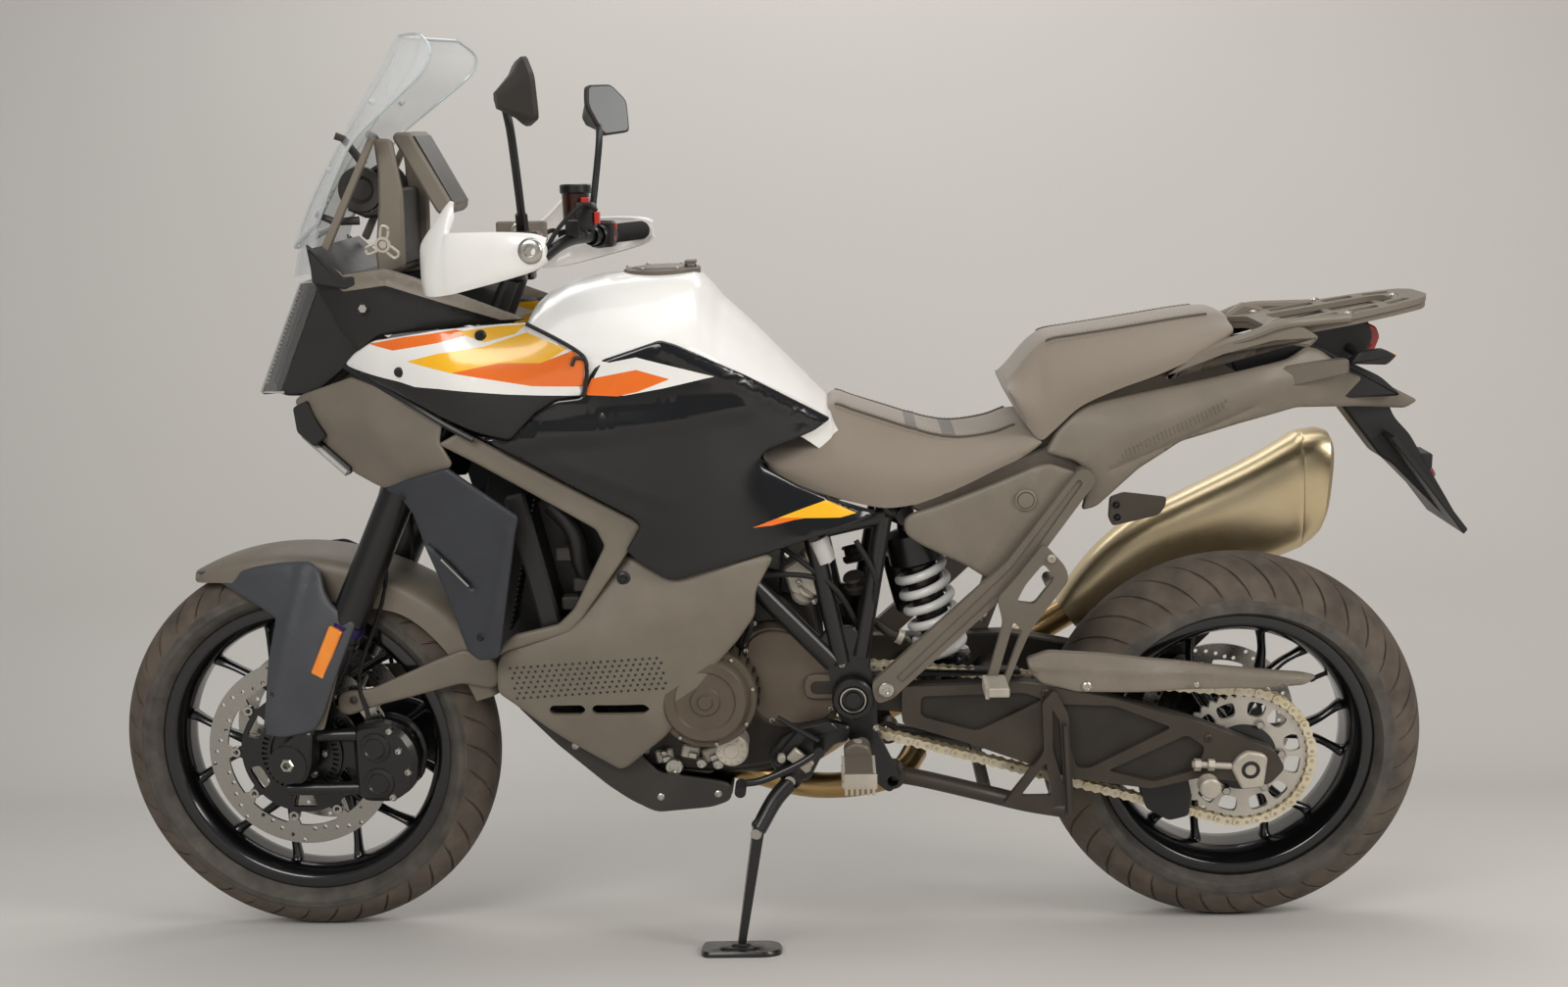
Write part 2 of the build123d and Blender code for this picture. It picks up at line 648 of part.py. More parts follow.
# ---------------------------------------------------------------- seats and tail
with BuildPart() as rider_seat:
    slab(
        ((790, 842), (825, 808), (960, 755), (1010, 758), (1215, 838), (1178, 918), (1120, 885), (1040, 870),
         (960, 885), (904, 922), (892, 905), (878, 862)),
        130, -130, radius=8,
    )
    for neighbour in (frame, fuel_tank, tank_sides, subframe):
        add(neighbour.part, mode=Mode.SUBTRACT)
with BuildPart() as pillion_seat:
    slab(
        ((1182, 920), (1220, 840), (1262, 880), (1300, 912), (1500, 980), (1530, 1070), (1480, 1068), (1380, 1030),
         (1255, 1018), (1190, 945)),
        125, -125, radius=8,
    )
    for neighbour in (rider_seat, subframe):
        add(neighbour.part, mode=Mode.SUBTRACT)
with BuildPart() as side_covers:
    pair(((1008, 738), (1040, 765), (1225, 822), (1285, 798), (1195, 645), (1150, 632), (1080, 660)), 118, 138,
         radius=8)
    add(rider_seat.part, mode=Mode.SUBTRACT)
    add(subframe.part, mode=Mode.SUBTRACT)
with BuildPart() as tail_cover:
    pair(((1240, 855), (1290, 905), (1420, 960), (1510, 990), (1640, 1000), (1760, 915), (1640, 925), (1300, 850)),
         118, 140)
    slab(((1560, 998), (1640, 1000), (1740, 930), (1640, 930)), 119, -119)
    for neighbour in (rider_seat, pillion_seat, subframe):
        add(neighbour.part, mode=Mode.SUBTRACT)
with BuildPart() as luggage_rack:
    slab(((1545, 1052), (1640, 1060), (1830, 1085), (1838, 1070), (1790, 1050), (1640, 1035)), 95, -95)
    slab(((1600, 1020), (1780, 1045), (1780, 1100), (1600, 1100)), 60, -60, Mode.SUBTRACT)
    pair(((1510, 1010), (1545, 1052), (1600, 1060), (1640, 1010), (1620, 1003)), 95, 118)
    add(pillion_seat.part, mode=Mode.SUBTRACT)
    add(tail_cover.part, mode=Mode.SUBTRACT)
with BuildPart() as tail_light:
    slab(((1640, 985), (1650, 1022), (1745, 1030), (1770, 1000), (1750, 965), (1690, 955)), 60, -60, radius=4)
    add(tail_cover.part, mode=Mode.SUBTRACT)
    add(luggage_rack.part, mode=Mode.SUBTRACT)
with BuildPart() as plate_holder:
    slab(((1700, 940), (1760, 850), (1900, 665), (1915, 680), (1830, 850), (1790, 905), (1745, 925)), 90, -90)
    add(tail_cover.part, mode=Mode.SUBTRACT)
    add(subframe.part, mode=Mode.SUBTRACT)

# ---------------------------------------------------------------- exhaust and belly pan
silencer_foot = (1318, 205, 488)
with BuildPart() as silencer:
    with BuildSketch(Plane(origin=silencer_foot, x_dir=(0, 1, 0), z_dir=(0.79, 0, 0.61))) as can:
        Ellipse(48, 62)
    with BuildSketch(Plane(origin=(1700, 205, 740), x_dir=(0, 1, 0), z_dir=(0.79, 0, 0.61))) as tail:
        Ellipse(54, 112)
    loft([can.sketch, tail.sketch])
with BuildPart() as exhaust_pipe:
    bent_rod(
        [(600, 40, 300), (700, 60, 286), (840, 60, 275), (928, 188, 285), (1010, 203, 320), (1180, 205, 400),
         silencer_foot],
        26,
    )
    for neighbour in (engine, silencer):
        add(neighbour.part, mode=Mode.SUBTRACT)

with BuildPart() as belly_pan:
    slab(((400, 420), (560, 345), (640, 380), (735, 320), (715, 262), (590, 250), (520, 300)), 150, -150)
    slab(((380, 500), (575, 340), (660, 500), (760, 320), (800, 270), (600, 262), (540, 310)), 140, -140, Mode.SUBTRACT)
    add(engine.part, mode=Mode.SUBTRACT)
    add(exhaust_pipe.part, mode=Mode.SUBTRACT)
    add(side_panels.part, mode=Mode.SUBTRACT)

# ---------------------------------------------------------------- swingarm, shock, chain
arm_side = (
    (1000, 462), (1200, 466), (rear_x - 227, 440), (rear_x - 77, 395), (rear_x + 43, rear_z + 24),
    (rear_x + 58, rear_z - 3), (rear_x + 33, rear_z - 29), (rear_x - 77, rear_z - 15), (rear_x - 157, rear_z - 33),
    (rear_x - 287, rear_z - 13), (1100, 372), (1000, 402),
)
with BuildPart() as swingarm:
    pair(arm_side, arm_inner, arm_outer, radius=6)
    pair(((893, 417), (1030, 404), (1030, 468), (985, 476), (893, 476)), arm_inner - 30, arm_inner - 4)
    pair(((1005, 410), (1030, 404), (1030, 462), (1005, 462)), arm_inner - 30, arm_outer)
    rod((pivot_x + 110, -arm_inner, 425), (pivot_x + 110, arm_inner, 425), 32)
    rod((1165, -arm_inner, 400), (1165, arm_inner, 400), 30)
    disc(rear_x, rear_z, 0, 2 * arm_outer + 20, axle_radius)
    disc(rear_x, rear_z, 0, 2 * arm_outer + 30, axle_hole, Mode.SUBTRACT)
    for neighbour in (frame, subframe, chain):
        add(neighbour.part, mode=Mode.SUBTRACT)
    rod((pivot_x, -arm_outer - 10, pivot_z), (pivot_x, arm_outer + 10, pivot_z), pivot_hole, Mode.SUBTRACT)
with BuildPart() as shock:
    rod((1010, -40, 728), (1093, -40, 410), 20)
    rod((1035, -40, 640), (1075, -40, 500), 44)
    rod((975, -40, 735), (1014, -40, 718), 18)
    for neighbour in (swingarm, frame, subframe):
        add(neighbour.part, mode=Mode.SUBTRACT)
with BuildPart() as chain_guard:
    slab(
        over_chain((rear_x - 352, 1), (rear_x - 357, 39), (rear_x - 257, 44), (rear_x - 117, 41), (rear_x + 108, 50),
                   (rear_x + 93, 23), (rear_x - 257, -15)),
        -91, -arm_outer,
    )
    slab(
        over_chain((rear_x - 367, -70), (rear_x - 367, 20), (rear_x - 257, 29), (rear_x - 117, 29), (rear_x + 123, 38),
                   (rear_x + 123, -28)),
        -80, -arm_outer + 6, Mode.SUBTRACT,
    )
    add(swingarm.part, mode=Mode.SUBTRACT)

with BuildPart() as rear_brake:
    slab(
        ((rear_x - 127, rear_z + 119), (rear_x - 107, rear_z + 179), (rear_x - 37, rear_z + 199),
         (rear_x - 17, rear_z + 159), (rear_x - 57, rear_z + 119)),
        rear_disc_y + 30, rear_disc_y - 17,
        radius=8,
    )
    slab(
        ((rear_x - 122, rear_z + 135), (rear_x - 62, rear_z + 135), (rear_x - 52, rear_z + 50),
         (rear_x - 112, rear_z + 65)),
        arm_inner, arm_inner - 14,
    )
    disc(rear_x, rear_z, rear_disc_y, disc_thickness + 2 * running_gap, rear_disc_radius + 8, Mode.SUBTRACT)

# ---------------------------------------------------------------- footrests and stands
with BuildPart() as footrests:
    for way in (-1, 1):
        rod((935, way * 140, 362), (925, way * 200, 355), 13)
        slab(((900, 340), (950, 340), (950, 364), (900, 364)), way * 235 + 42, way * 235 - 42)
        slab(
            ((1150, 612), (1180, 645), (1222, 700), (1262, 640), (1200, 560), (1160, 450), (1128, 458), (1160, 570)),
            way * 165 + 6, way * 165 - 6,
        )
        rod((1143, way * 160, 478), (1143, way * 235, 478), 12)
        rod((1235, way * 116, 632), (1235, way * 168, 632), 9)
    for neighbour in (frame, subframe, exhaust_pipe):
        add(neighbour.part, mode=Mode.SUBTRACT)
foot_up = Vector(0, sin(radians(lean)), cos(radians(lean)))
foot_middle = Vector(stand_foot_x, stand_foot_y, -stand_foot_y * tan(radians(lean)))
ankle = foot_middle + foot_up * foot_thickness
leg_way = (ankle - Vector(*stand_pivot)).normalized()
folded_way = Vector(*stand_folded).normalized()
turn = (leg_way - folded_way).normalized()
fold_way = (Vector(0, 1, 0) - turn * turn.Y).normalized()


def on_pin(reach):
    """a point of the side stand's pin, so far inwards from its pivot"""
    return tuple(Vector(*stand_pivot) + fold_way * reach)


with BuildPart() as stand_bracket:
    slab(
        ((780, 345), (800, 375), (840, 396), (893, 396), (893, 372), (868, 345), (850, 306), (805, 304)),
        -140, -157, radius=6,
    )
    rod((862, -80, 362), (862, -142, 362), 14)
    rod(on_pin(0), on_pin(50), stand_pin + bearing_gap, Mode.SUBTRACT)
    for neighbour in (frame, engine, chain):
        add(neighbour.part, mode=Mode.SUBTRACT)

with BuildPart() as side_stand:
    rod(tuple(ankle), stand_pivot, stand_bar)
    rod(on_pin(14), on_pin(-14), 18)
    rod(on_pin(0), on_pin(37), stand_pin)
    with BuildSketch(Plane(origin=foot_middle, x_dir=(1, 0, 0), z_dir=foot_up)) as sole:
        RectangleRounded(foot_length, foot_width, 16)
    extrude(sole.sketch, amount=foot_thickness)

with BuildPart() as centre_stand:
    for way in (-1, 1):
        bent_rod(
            [
                (centre_pivot_x, way * centre_leg_y, centre_pivot_z),
                (centre_pivot_x + 150, way * centre_leg_y, centre_pivot_z - 22),
                (centre_pivot_x + centre_reach, way * (centre_leg_y + 12), centre_pivot_z - 43),
            ],
            centre_bar,
        )
    for way in (-1, 1):
        rod(
            (centre_pivot_x, way * (centre_leg_y - centre_bar), centre_pivot_z),
            (centre_pivot_x, way * (centre_leg_y + centre_bar), centre_pivot_z), 17,
        )
        rod((centre_pivot_x, way * centre_leg_y, centre_pivot_z), (centre_pivot_x, way * 140, centre_pivot_z), stand_pin)
    rod(
        (centre_pivot_x + 150, -centre_leg_y, centre_pivot_z - 22),
        (centre_pivot_x + 150, centre_leg_y, centre_pivot_z - 22), 11,
    )

# ---------------------------------------------------------------- parked on the side stand
parked = Location((base_shift[0], base_shift[1], 0)) * Location((0, 0, 0), (lean, 0, 0))
head = Plane(origin=steer_foot, x_dir=(0, 1, 0), z_dir=steer_way).location
turned = parked * head * Location((0, 0, 0), (0, 0, steer_rest)) * head.inverse()

chassis = {
    "frame": frame, "subframe": subframe, "engine": engine, "radiator_ducts": radiator_ducts,
    "fuel_tank": fuel_tank, "shrouds": shrouds, "tank_sides": tank_sides, "cowls": cowls, "fins": fins,
    "side_panels": side_panels, "belly_pan": belly_pan,
    "headlight": headlight, "cockpit": cockpit, "dash": dash, "windscreen": windscreen,
    "rider_seat": rider_seat, "pillion_seat": pillion_seat, "tail_cover": tail_cover,
    "side_covers": side_covers, "luggage_rack": luggage_rack, "tail_light": tail_light,
    "plate_holder": plate_holder, "silencer": silencer, "exhaust_pipe": exhaust_pipe,
    "swingarm": swingarm, "shock": shock, "chain": chain, "chain_guard": chain_guard,
    "rear_brake": rear_brake, "footrests": footrests, "stand_bracket": stand_bracket,
    "rear_wheel": rear_wheel, "rear_tyre": rear_tyre, "rear_disc": rear_disc, "sprocket": sprocket,
    "side_stand": side_stand, "centre_stand": centre_stand,
}
steered = {
    "fork": fork, "front_callipers": front_callipers, "front_fender": front_fender, "handlebar": handlebar,
    "handguards": handguards, "mirrors": mirrors, "front_wheel": front_wheel, "front_tyre": front_tyre,
    "front_discs": front_discs,
}
for pieces, place in ((chassis, parked), (steered, turned)):
    for name, piece in pieces.items():
        piece.part.label = name
        export_step(piece.part.moved(place), f"parts/{name}.step")
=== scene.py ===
import math

import bmesh
import bpy
import numpy as np
from mathutils import Matrix, Vector
from mathutils.geometry import delaunay_2d_cdt


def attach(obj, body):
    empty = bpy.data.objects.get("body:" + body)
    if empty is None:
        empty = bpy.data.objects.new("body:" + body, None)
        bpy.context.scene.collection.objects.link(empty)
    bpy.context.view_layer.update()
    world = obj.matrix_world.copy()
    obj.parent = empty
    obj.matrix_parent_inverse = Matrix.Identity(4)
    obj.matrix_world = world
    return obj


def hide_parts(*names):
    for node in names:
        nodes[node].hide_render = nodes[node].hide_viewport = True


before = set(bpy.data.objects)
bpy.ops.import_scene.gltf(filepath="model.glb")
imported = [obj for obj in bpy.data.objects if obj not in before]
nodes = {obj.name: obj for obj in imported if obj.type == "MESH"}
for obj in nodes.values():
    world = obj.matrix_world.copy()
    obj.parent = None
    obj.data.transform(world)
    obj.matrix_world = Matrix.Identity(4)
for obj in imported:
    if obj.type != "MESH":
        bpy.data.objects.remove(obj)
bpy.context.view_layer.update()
print("frame loaded,", len(nodes), "nodes")

# The motorcycle is drawn upright in millimetres: x to the rear from the front wheel's contact,
# y to the rider's right, z up. toRow leans it on its stand, turns the fork and goes to metres.
stance = {"lean": 14.0, "steer": -4.6, "rake": 24.7, "offset": 36.0, "shift": (-795.3, 298.9, 0.0)}
axles = {"frontZ": 328.57, "rearX": 1557.0, "rearZ": 320.6}

leanAngle = math.radians(stance["lean"])
leanTurn = np.array([
    [1, 0, 0], [0, math.cos(leanAngle), -math.sin(leanAngle)], [0, math.sin(leanAngle), math.cos(leanAngle)]])
rakeAngle = math.radians(stance["rake"])
steerWay = np.array([math.sin(rakeAngle), 0.0, math.cos(rakeAngle)])
steerFoot = np.array([
    stance["offset"] * math.cos(rakeAngle), 0.0, axles["frontZ"] - stance["offset"] * math.sin(rakeAngle)])
steerTurn = np.array(Matrix.Rotation(math.radians(stance["steer"]), 3, Vector(steerWay)))


def toRow(points, body="chassis"):
    points = np.asarray(points, float).reshape(-1, 3)
    if body in ("steering", "front_wheel"):
        points = (points - steerFoot) @ steerTurn.T + steerFoot
    return (points @ leanTurn.T + np.array(stance["shift"])) / 1000.0


def onLeg(along, y=0.0, ahead=0.0):
    # a point beside the fork: so far up from the axle, across, and ahead of the legs
    up, back = steerWay[2], steerWay[0]
    return (along * back - ahead * up, y, axles["frontZ"] + along * up + ahead * back)


def linear(hexColour):
    # sRGB hex to a linear colour
    raw = np.array([int(hexColour[i:i + 2], 16) / 255 for i in (0, 2, 4)])
    return (*np.where(raw <= 0.04045, raw / 12.92, ((raw + 0.055) / 1.055) ** 2.4), 1.0)


def addNode(tree, kind, settings={}, links={}):
    # values go to the inputs of that name or to the node itself, links come from other outputs
    node = tree.nodes.new(kind)
    for key, value in settings.items():
        if key in node.inputs:
            node.inputs[key].default_value = value
        else:
            setattr(node, key, value)
    for key, source in links.items():
        tree.links.new(source, node.inputs[key])
    return node


def noise(tree, place, scale, detail):
    return addNode(tree, "ShaderNodeTexNoise", {"Scale": scale, "Detail": detail},
                   {"Vector": place}).outputs["Fac"]


def mixed(tree, share, colour, other):
    mix = addNode(tree, "ShaderNodeMix", {"data_type": "RGBA"})
    mix.inputs[6].default_value = colour
    mix.inputs[7].default_value = other
    tree.links.new(share, mix.inputs[0])
    return mix.outputs[2]


def ranged(tree, value, low, high, ends="To"):
    settings = {ends + " Min": low, ends + " Max": high}
    return addNode(tree, "ShaderNodeMapRange", settings, {"Value": value}).outputs["Result"]


def bumped(tree, height, strength, distance):
    settings = {"Strength": strength, "Distance": distance}
    return addNode(tree, "ShaderNodeBump", settings, {"Height": height}).outputs["Normal"]


def newMaterial(name):
    material = bpy.data.materials.new(name)
    material.use_nodes = True
    tree = material.node_tree
    shader = tree.nodes["Principled BSDF"]
    place = addNode(tree, "ShaderNodeTexCoord").outputs["Object"]
    return material, tree, shader, place


def dress(tree, shader, sources, values):
    for key, source in sources.items():
        tree.links.new(source, shader.inputs[key])
    for key, value in values.items():
        shader.inputs[key].default_value = value


def coated(name, colour, other, roughness, metallic=0.0, coat=0.0, grainMm=1.0, bump=0.1, spread=0.5,
           mottleMm=60.0):
    # a surface of two near colours mottled together, with its own grain in the bump
    material, tree, shader, place = newMaterial(name)
    mottle = noise(tree, place, 1000 / mottleMm, 5.0)
    fade = ranged(tree, mottle, 0.5 - spread / 2, 0.5 + spread / 2, "From")
    dress(tree, shader, {
        "Base Color": mixed(tree, fade, linear(colour), linear(other)),
        "Normal": bumped(tree, noise(tree, place, 1000 / grainMm, 2.0), bump, 0.0004),
        "Roughness": ranged(tree, mottle, roughness * 0.85, min(1.0, roughness * 1.2)),
    }, {"Metallic": metallic, "Coat Weight": coat, "Coat Roughness": 0.06})
    return material


def brushed(name, colour, other, roughness, stretch=(1, 1, 14), scaleMm=3.0, stain=None):
    # ground metal: fine lines along one way; stained metal takes its colours from clouds of heat tint
    material, tree, shader, place = newMaterial(name)
    turned = addNode(tree, "ShaderNodeMapping", {"Scale": stretch}, {"Vector": place}).outputs["Vector"]
    lines = noise(tree, turned, 1000 / scaleMm / max(stretch), 6.0)
    share = noise(tree, place, 7.0, 3.0) if stain else lines
    dress(tree, shader, {
        "Base Color": mixed(tree, share, linear(colour), linear(other)),
        "Roughness": ranged(tree, lines, roughness * 0.7, roughness * 1.5),
        "Normal": bumped(tree, lines, 0.12, 0.0003),
    }, {"Metallic": 1.0})
    return material


def seatCloth(name, colour, other):
    # coated seat cloth: a 1.6 mm grain drawn a little coarse, with a soft sheen
    material, tree, shader, place = newMaterial(name)
    grain = addNode(tree, "ShaderNodeTexVoronoi", {"Scale": 620.0}, {"Vector": place}).outputs["Distance"]
    dress(tree, shader, {
        "Base Color": mixed(tree, noise(tree, place, 9.0, 4.0), linear(colour), linear(other)),
        "Normal": bumped(tree, grain, 0.35, 0.0005),
    }, {"Roughness": 0.78, "Sheen Weight": 0.25})
    return material


def clear(name, colour, alpha, roughness=0.04):
    # a clear moulding that shows what is behind it
    material, tree, shader, place = newMaterial(name)
    dress(tree, shader, {"Normal": bumped(tree, noise(tree, place, 60.0, 4.0), 0.03, 0.0005)}, {
        "Base Color": linear(colour), "Roughness": roughness, "Alpha": alpha, "Coat Weight": 0.5})
    material.surface_render_method = "DITHERED"
    return material


mats = {"whitePaint": coated("white gloss paint", "EFEEEA", "EAE9E5", 0.24, coat=0.4, grainMm=20, bump=0.01),
        "orangePaint": coated("orange gloss paint", "F0761C", "EB6A14", 0.22, coat=0.6, grainMm=20,
                              bump=0.01),
        "yellowPaint": coated("yellow gloss paint", "FBC21C", "F8B516", 0.22, coat=0.6, grainMm=20,
                              bump=0.01),
        "blackPaint": coated("black gloss paint", "08090A", "0B0C0E", 0.16, coat=0.25, grainMm=20, bump=0.01),
        "bronzeAbs": coated("bronze-grey moulded plastic", "786F63", "6E665A", 0.46, grainMm=0.9, bump=0.25),
        "darkAbs": coated("dark grained plastic", "35312D", "2C2926", 0.5, grainMm=0.9, bump=0.3),
        "blackAbs": coated("black grained plastic", "141413", "191817", 0.42, grainMm=0.9, bump=0.25),
        "slateAbs": coated("slate-grey moulded plastic", "43454A", "3C3E42", 0.5, grainMm=0.9, bump=0.25),
        "finAbs": coated("dark slate moulded plastic", "303338", "2A2C31", 0.48, grainMm=0.9, bump=0.25),
        "frameBlack": coated("satin black powder coat", "0D0D0D", "121111", 0.34, coat=0.2, grainMm=1.2,
                             bump=0.12),
        "bronzeMetal": coated("bronze-grey powder coat", "6B6358", "60584E", 0.42, grainMm=1.2, bump=0.15),
        "castBlack": coated("black cast alloy", "332E29", "292521", 0.5, metallic=0.3, grainMm=1.6, bump=0.5),
        "castCover": coated("dark cast cover", "63584B", "574D41", 0.44, metallic=0.3, grainMm=1.4, bump=0.4),
        "wheelBlack": coated("gloss black wheel enamel", "0A0A0B", "0D0D0E", 0.2, coat=0.5, grainMm=15,
                             bump=0.02),
        "armBlack": coated("black anodised swingarm", "453E36", "39332C", 0.4, metallic=0.3, grainMm=1.5,
                           bump=0.25),
        "tyreRubber": coated("dusty tyre rubber", "57524B", "403C37", 0.76, grainMm=2.0, bump=0.3,
                             mottleMm=35, spread=0.35),
        "tyreTread": coated("dusty tread rubber", "60554A", "49423A", 0.85, grainMm=2.0, bump=0.3,
                            mottleMm=45, spread=0.4),
        "rubber": coated("black rubber", "111111", "171716", 0.7, grainMm=1.0, bump=0.3),
        "silverBolt": brushed("zinc plated steel", "C9C6BF", "AFAAA2", 0.26),
        "discSteel": brushed("ground disc steel", "B9B6B0", "98948D", 0.24, stretch=(1, 1, 1), scaleMm=1.5),
        "sprocketSteel": coated("satin sprocket steel", "CFCAC0", "B9B3A8", 0.34, metallic=0.6, grainMm=2,
                                bump=0.1),
        "castAlloy": coated("bare cast alloy", "C4BDB0", "A79F92", 0.42, metallic=0.35, grainMm=1.5,
                            bump=0.4),
        "labelSilver": coated("blank silver label", "C9C7C2", "BBB9B4", 0.35, metallic=0.3, grainMm=8,
                              bump=0.05),
        "displayGlass": coated("dark display glass", "15130F", "1B1814", 0.3, grainMm=30, bump=0.01),
        "chainSteel": coated("pale gold chain plate", "E4DAC2", "CFC09C", 0.34, metallic=0.45, grainMm=2,
                             bump=0.1),
        "canSteel": brushed("satin silencer steel", "E0D2B4", "CBB589", 0.3, stretch=(1, 5, 5), scaleMm=2.5,
                            stain=True),
        "pipeSteel": brushed("heat-tinted pipe", "C6AA78", "94754A", 0.3, stretch=(1, 1, 1), scaleMm=5,
                             stain=True),
        "seatCloth": seatCloth("taupe seat cloth", "7D7366", "867C6F"),
        "seatBand": seatCloth("dark seat cloth", "4E473F", "564F46"),
        "thread": coated("grey sewing thread", "A39A8E", "968D81", 0.7, grainMm=0.5),
        "clearScreen": clear("clear screen", "EDF0F1", 0.36),
        "screenEdge": clear("screen edge", "C9D2D4", 0.8),
        "lampLens": clear("smoked lamp lens", "515252", 0.72, 0.08),
        "lampInside": coated("frosted lamp", "B5B4B0", "8E8D89", 0.3, grainMm=3, bump=0.5),
        "amberLens": coated("amber reflector", "F0760E", "F59A2A", 0.18, coat=0.6, grainMm=3, bump=0.4),
        "redLens": coated("red lens", "7A0E0C", "8F1411", 0.15, coat=0.6, grainMm=4, bump=0.3),
        "redPlastic": coated("red switch plastic", "C4261C", "B62018", 0.35),
        "purpleRing": coated("purple anodised ring", "3B2F6B", "33285E", 0.3, metallic=0.7),
        "springWhite": coated("white spring enamel", "E6E5E2", "DAD9D6", 0.3, coat=0.3),
        "glassMirror": brushed("mirror glass", "D9DEE2", "D4DADF", 0.02, stretch=(1, 1, 1), scaleMm=80),
        "brownFluid": coated("brake fluid glass", "3A1A0C", "2B120A", 0.15, coat=0.6)}
nodeFinish = {"frameBlack": ("frame shock rear_brake stand_bracket side_stand centre_stand fork "
                             "front_callipers handlebar"),
              "bronzeAbs": ("radiator_ducts cowls side_panels tail_cover side_covers luggage_rack "
                            "chain_guard front_fender"),
              "bronzeMetal": "subframe footrests", "castBlack": "engine", "armBlack": "swingarm",
              "darkAbs": "belly_pan dash", "whitePaint": "fuel_tank shrouds handguards",
              "blackPaint": "tank_sides", "slateAbs": "fins", "lampInside": "headlight",
              "blackAbs": "cockpit plate_holder mirrors", "clearScreen": "windscreen",
              "seatCloth": "rider_seat pillion_seat", "redLens": "tail_light", "canSteel": "silencer",
              "pipeSteel": "exhaust_pipe", "chainSteel": "chain", "wheelBlack": "rear_wheel front_wheel",
              "tyreRubber": "rear_tyre front_tyre", "discSteel": "rear_disc front_discs",
              "sprocketSteel": "sprocket"}
for finish, nodeNames in nodeFinish.items():
    for nodeName in nodeNames.split():
        data = nodes[nodeName].data
        data.materials.clear()
        data.materials.append(mats[finish])
print("materials ready")


def finishMesh(name, parts, finishes, body="chassis", sharpDeg=35, replaces=()):
    # parts in bike millimetres become one object on a body; each has a finish number, or one for each face
    points, faces, numbers = joined(parts)
    mesh = bpy.data.meshes.new(name)
    mesh.from_pydata(toRow(points, body), [], faces)
    for finish in ([finishes] if isinstance(finishes, str) else finishes):
        mesh.materials.append(mats[finish])
    if len(numbers) == len(mesh.polygons):
        mesh.polygons.foreach_set("material_index", np.asarray(numbers, np.int32))
    shape = bmesh.new()
    shape.from_mesh(mesh)
    bmesh.ops.remove_doubles(shape, verts=shape.verts, dist=2e-6)
    bmesh.ops.recalc_face_normals(shape, faces=shape.faces)
    shape.to_mesh(mesh)
    shape.free()
    piece = bpy.data.objects.new(name, mesh)
    bpy.context.scene.collection.objects.link(piece)
    mesh.polygons.foreach_set("use_smooth", np.ones(len(mesh.polygons), bool))
    mesh.set_sharp_from_angle(angle=math.radians(sharpDeg))
    mesh.update()
    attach(piece, body)
    for node in replaces:
        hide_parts(node)
    return piece


def gridFaces(rows, cols, wrapRows=False, wrapCols=False):
    # quads over a rows x cols grid of points
    r = np.arange(rows if wrapRows else rows - 1)
    c = np.arange(cols if wrapCols else cols - 1)
    r, c = np.meshgrid(r, c, indexing="ij")
    rn, cn = (r + 1) % rows, (c + 1) % cols
    return np.stack([r * cols + c, rn * cols + c, rn * cols + cn, r * cols + cn], -1).reshape(-1, 4)


def joined(parts):
    # several (points, faces[, finish number]) become one set
    points, faces, numbers, base = [], [], [], 0
    for part in parts:
        p, f = np.asarray(part[0], float).reshape(-1, 3), part[1]
        f = f.tolist() if isinstance(f, np.ndarray) else f
        number = part[2] if len(part) > 2 else 0
        points.append(p)
        faces += [[i + base for i in face] for face in f]
        numbers += list(number) if isinstance(number, (list, np.ndarray)) else [number] * len(f)
        base += len(p)
    return np.vstack(points), faces, numbers


def mirrored(part):
    # the same part on the other side, with its faces turned to point outwards
    points = np.asarray(part[0], float) * (1, -1, 1)
    faces = [list(face)[::-1] for face in (part[1].tolist() if isinstance(part[1], np.ndarray) else part[1])]
    return (points, faces, *part[2:])


def twoSides(parts):
    return [*parts, *[mirrored(part) for part in parts]]


def add(parts, number, *shapes):
    # shapes with one finish number join the parts
    parts += [(*shape[:2], number) for shape in shapes]


def yTurn(angle):
    return np.array(Matrix.Rotation(angle, 3, "Y"))


def smoothPath(points, perSpan=8):
    # a Catmull-Rom curve through the points
    p = np.asarray(points, float)
    p = np.vstack([2 * p[0] - p[1], p, 2 * p[-1] - p[-2]])
    t = np.linspace(0, 1, perSpan, endpoint=False)[:, None, None]
    a, b, c, d = p[:-3], p[1:-2], p[2:-1], p[3:]
    curve = 0.5 * (2 * b + (c - a) * t + (2 * a - 5 * b + 4 * c - d) * t ** 2
                   + (3 * b - a - 3 * c + d) * t ** 3)
    return np.vstack([curve.transpose(1, 0, 2).reshape(-1, p.shape[1]), p[-2]])


def roundedPath(points, radius=8, steps=5, closed=False):
    # straight runs joined by curves that start radius before each corner
    p = np.asarray(points, float)
    before, after = (np.roll(p, 1, 0), np.roll(p, -1, 0)) if closed else (p[:-2], p[2:])
    middle = p if closed else p[1:-1]
    back, ahead = before - middle, after - middle
    backLen = np.linalg.norm(back, axis=1, keepdims=True)
    aheadLen = np.linalg.norm(ahead, axis=1, keepdims=True)
    cut = np.minimum(radius, 0.45 * np.minimum(backLen, aheadLen))
    start, end = middle + back / backLen * cut, middle + ahead / aheadLen * cut
    t = np.linspace(0, 1, steps)[:, None, None]
    curve = (1 - t) ** 2 * start + 2 * t * (1 - t) * middle + t ** 2 * end
    curve = curve.transpose(1, 0, 2).reshape(-1, p.shape[1])
    return curve if closed else np.vstack([p[:1], curve, p[-1:]])


def softLoop(points, radius=8, steps=5):
    return roundedPath(points, radius, steps, closed=True)


def ringCaps(rows, cols):
    # the first and last rings of a grid as two faces
    return [list(range(cols)), [rows * cols - 1 - i for i in range(cols)]]


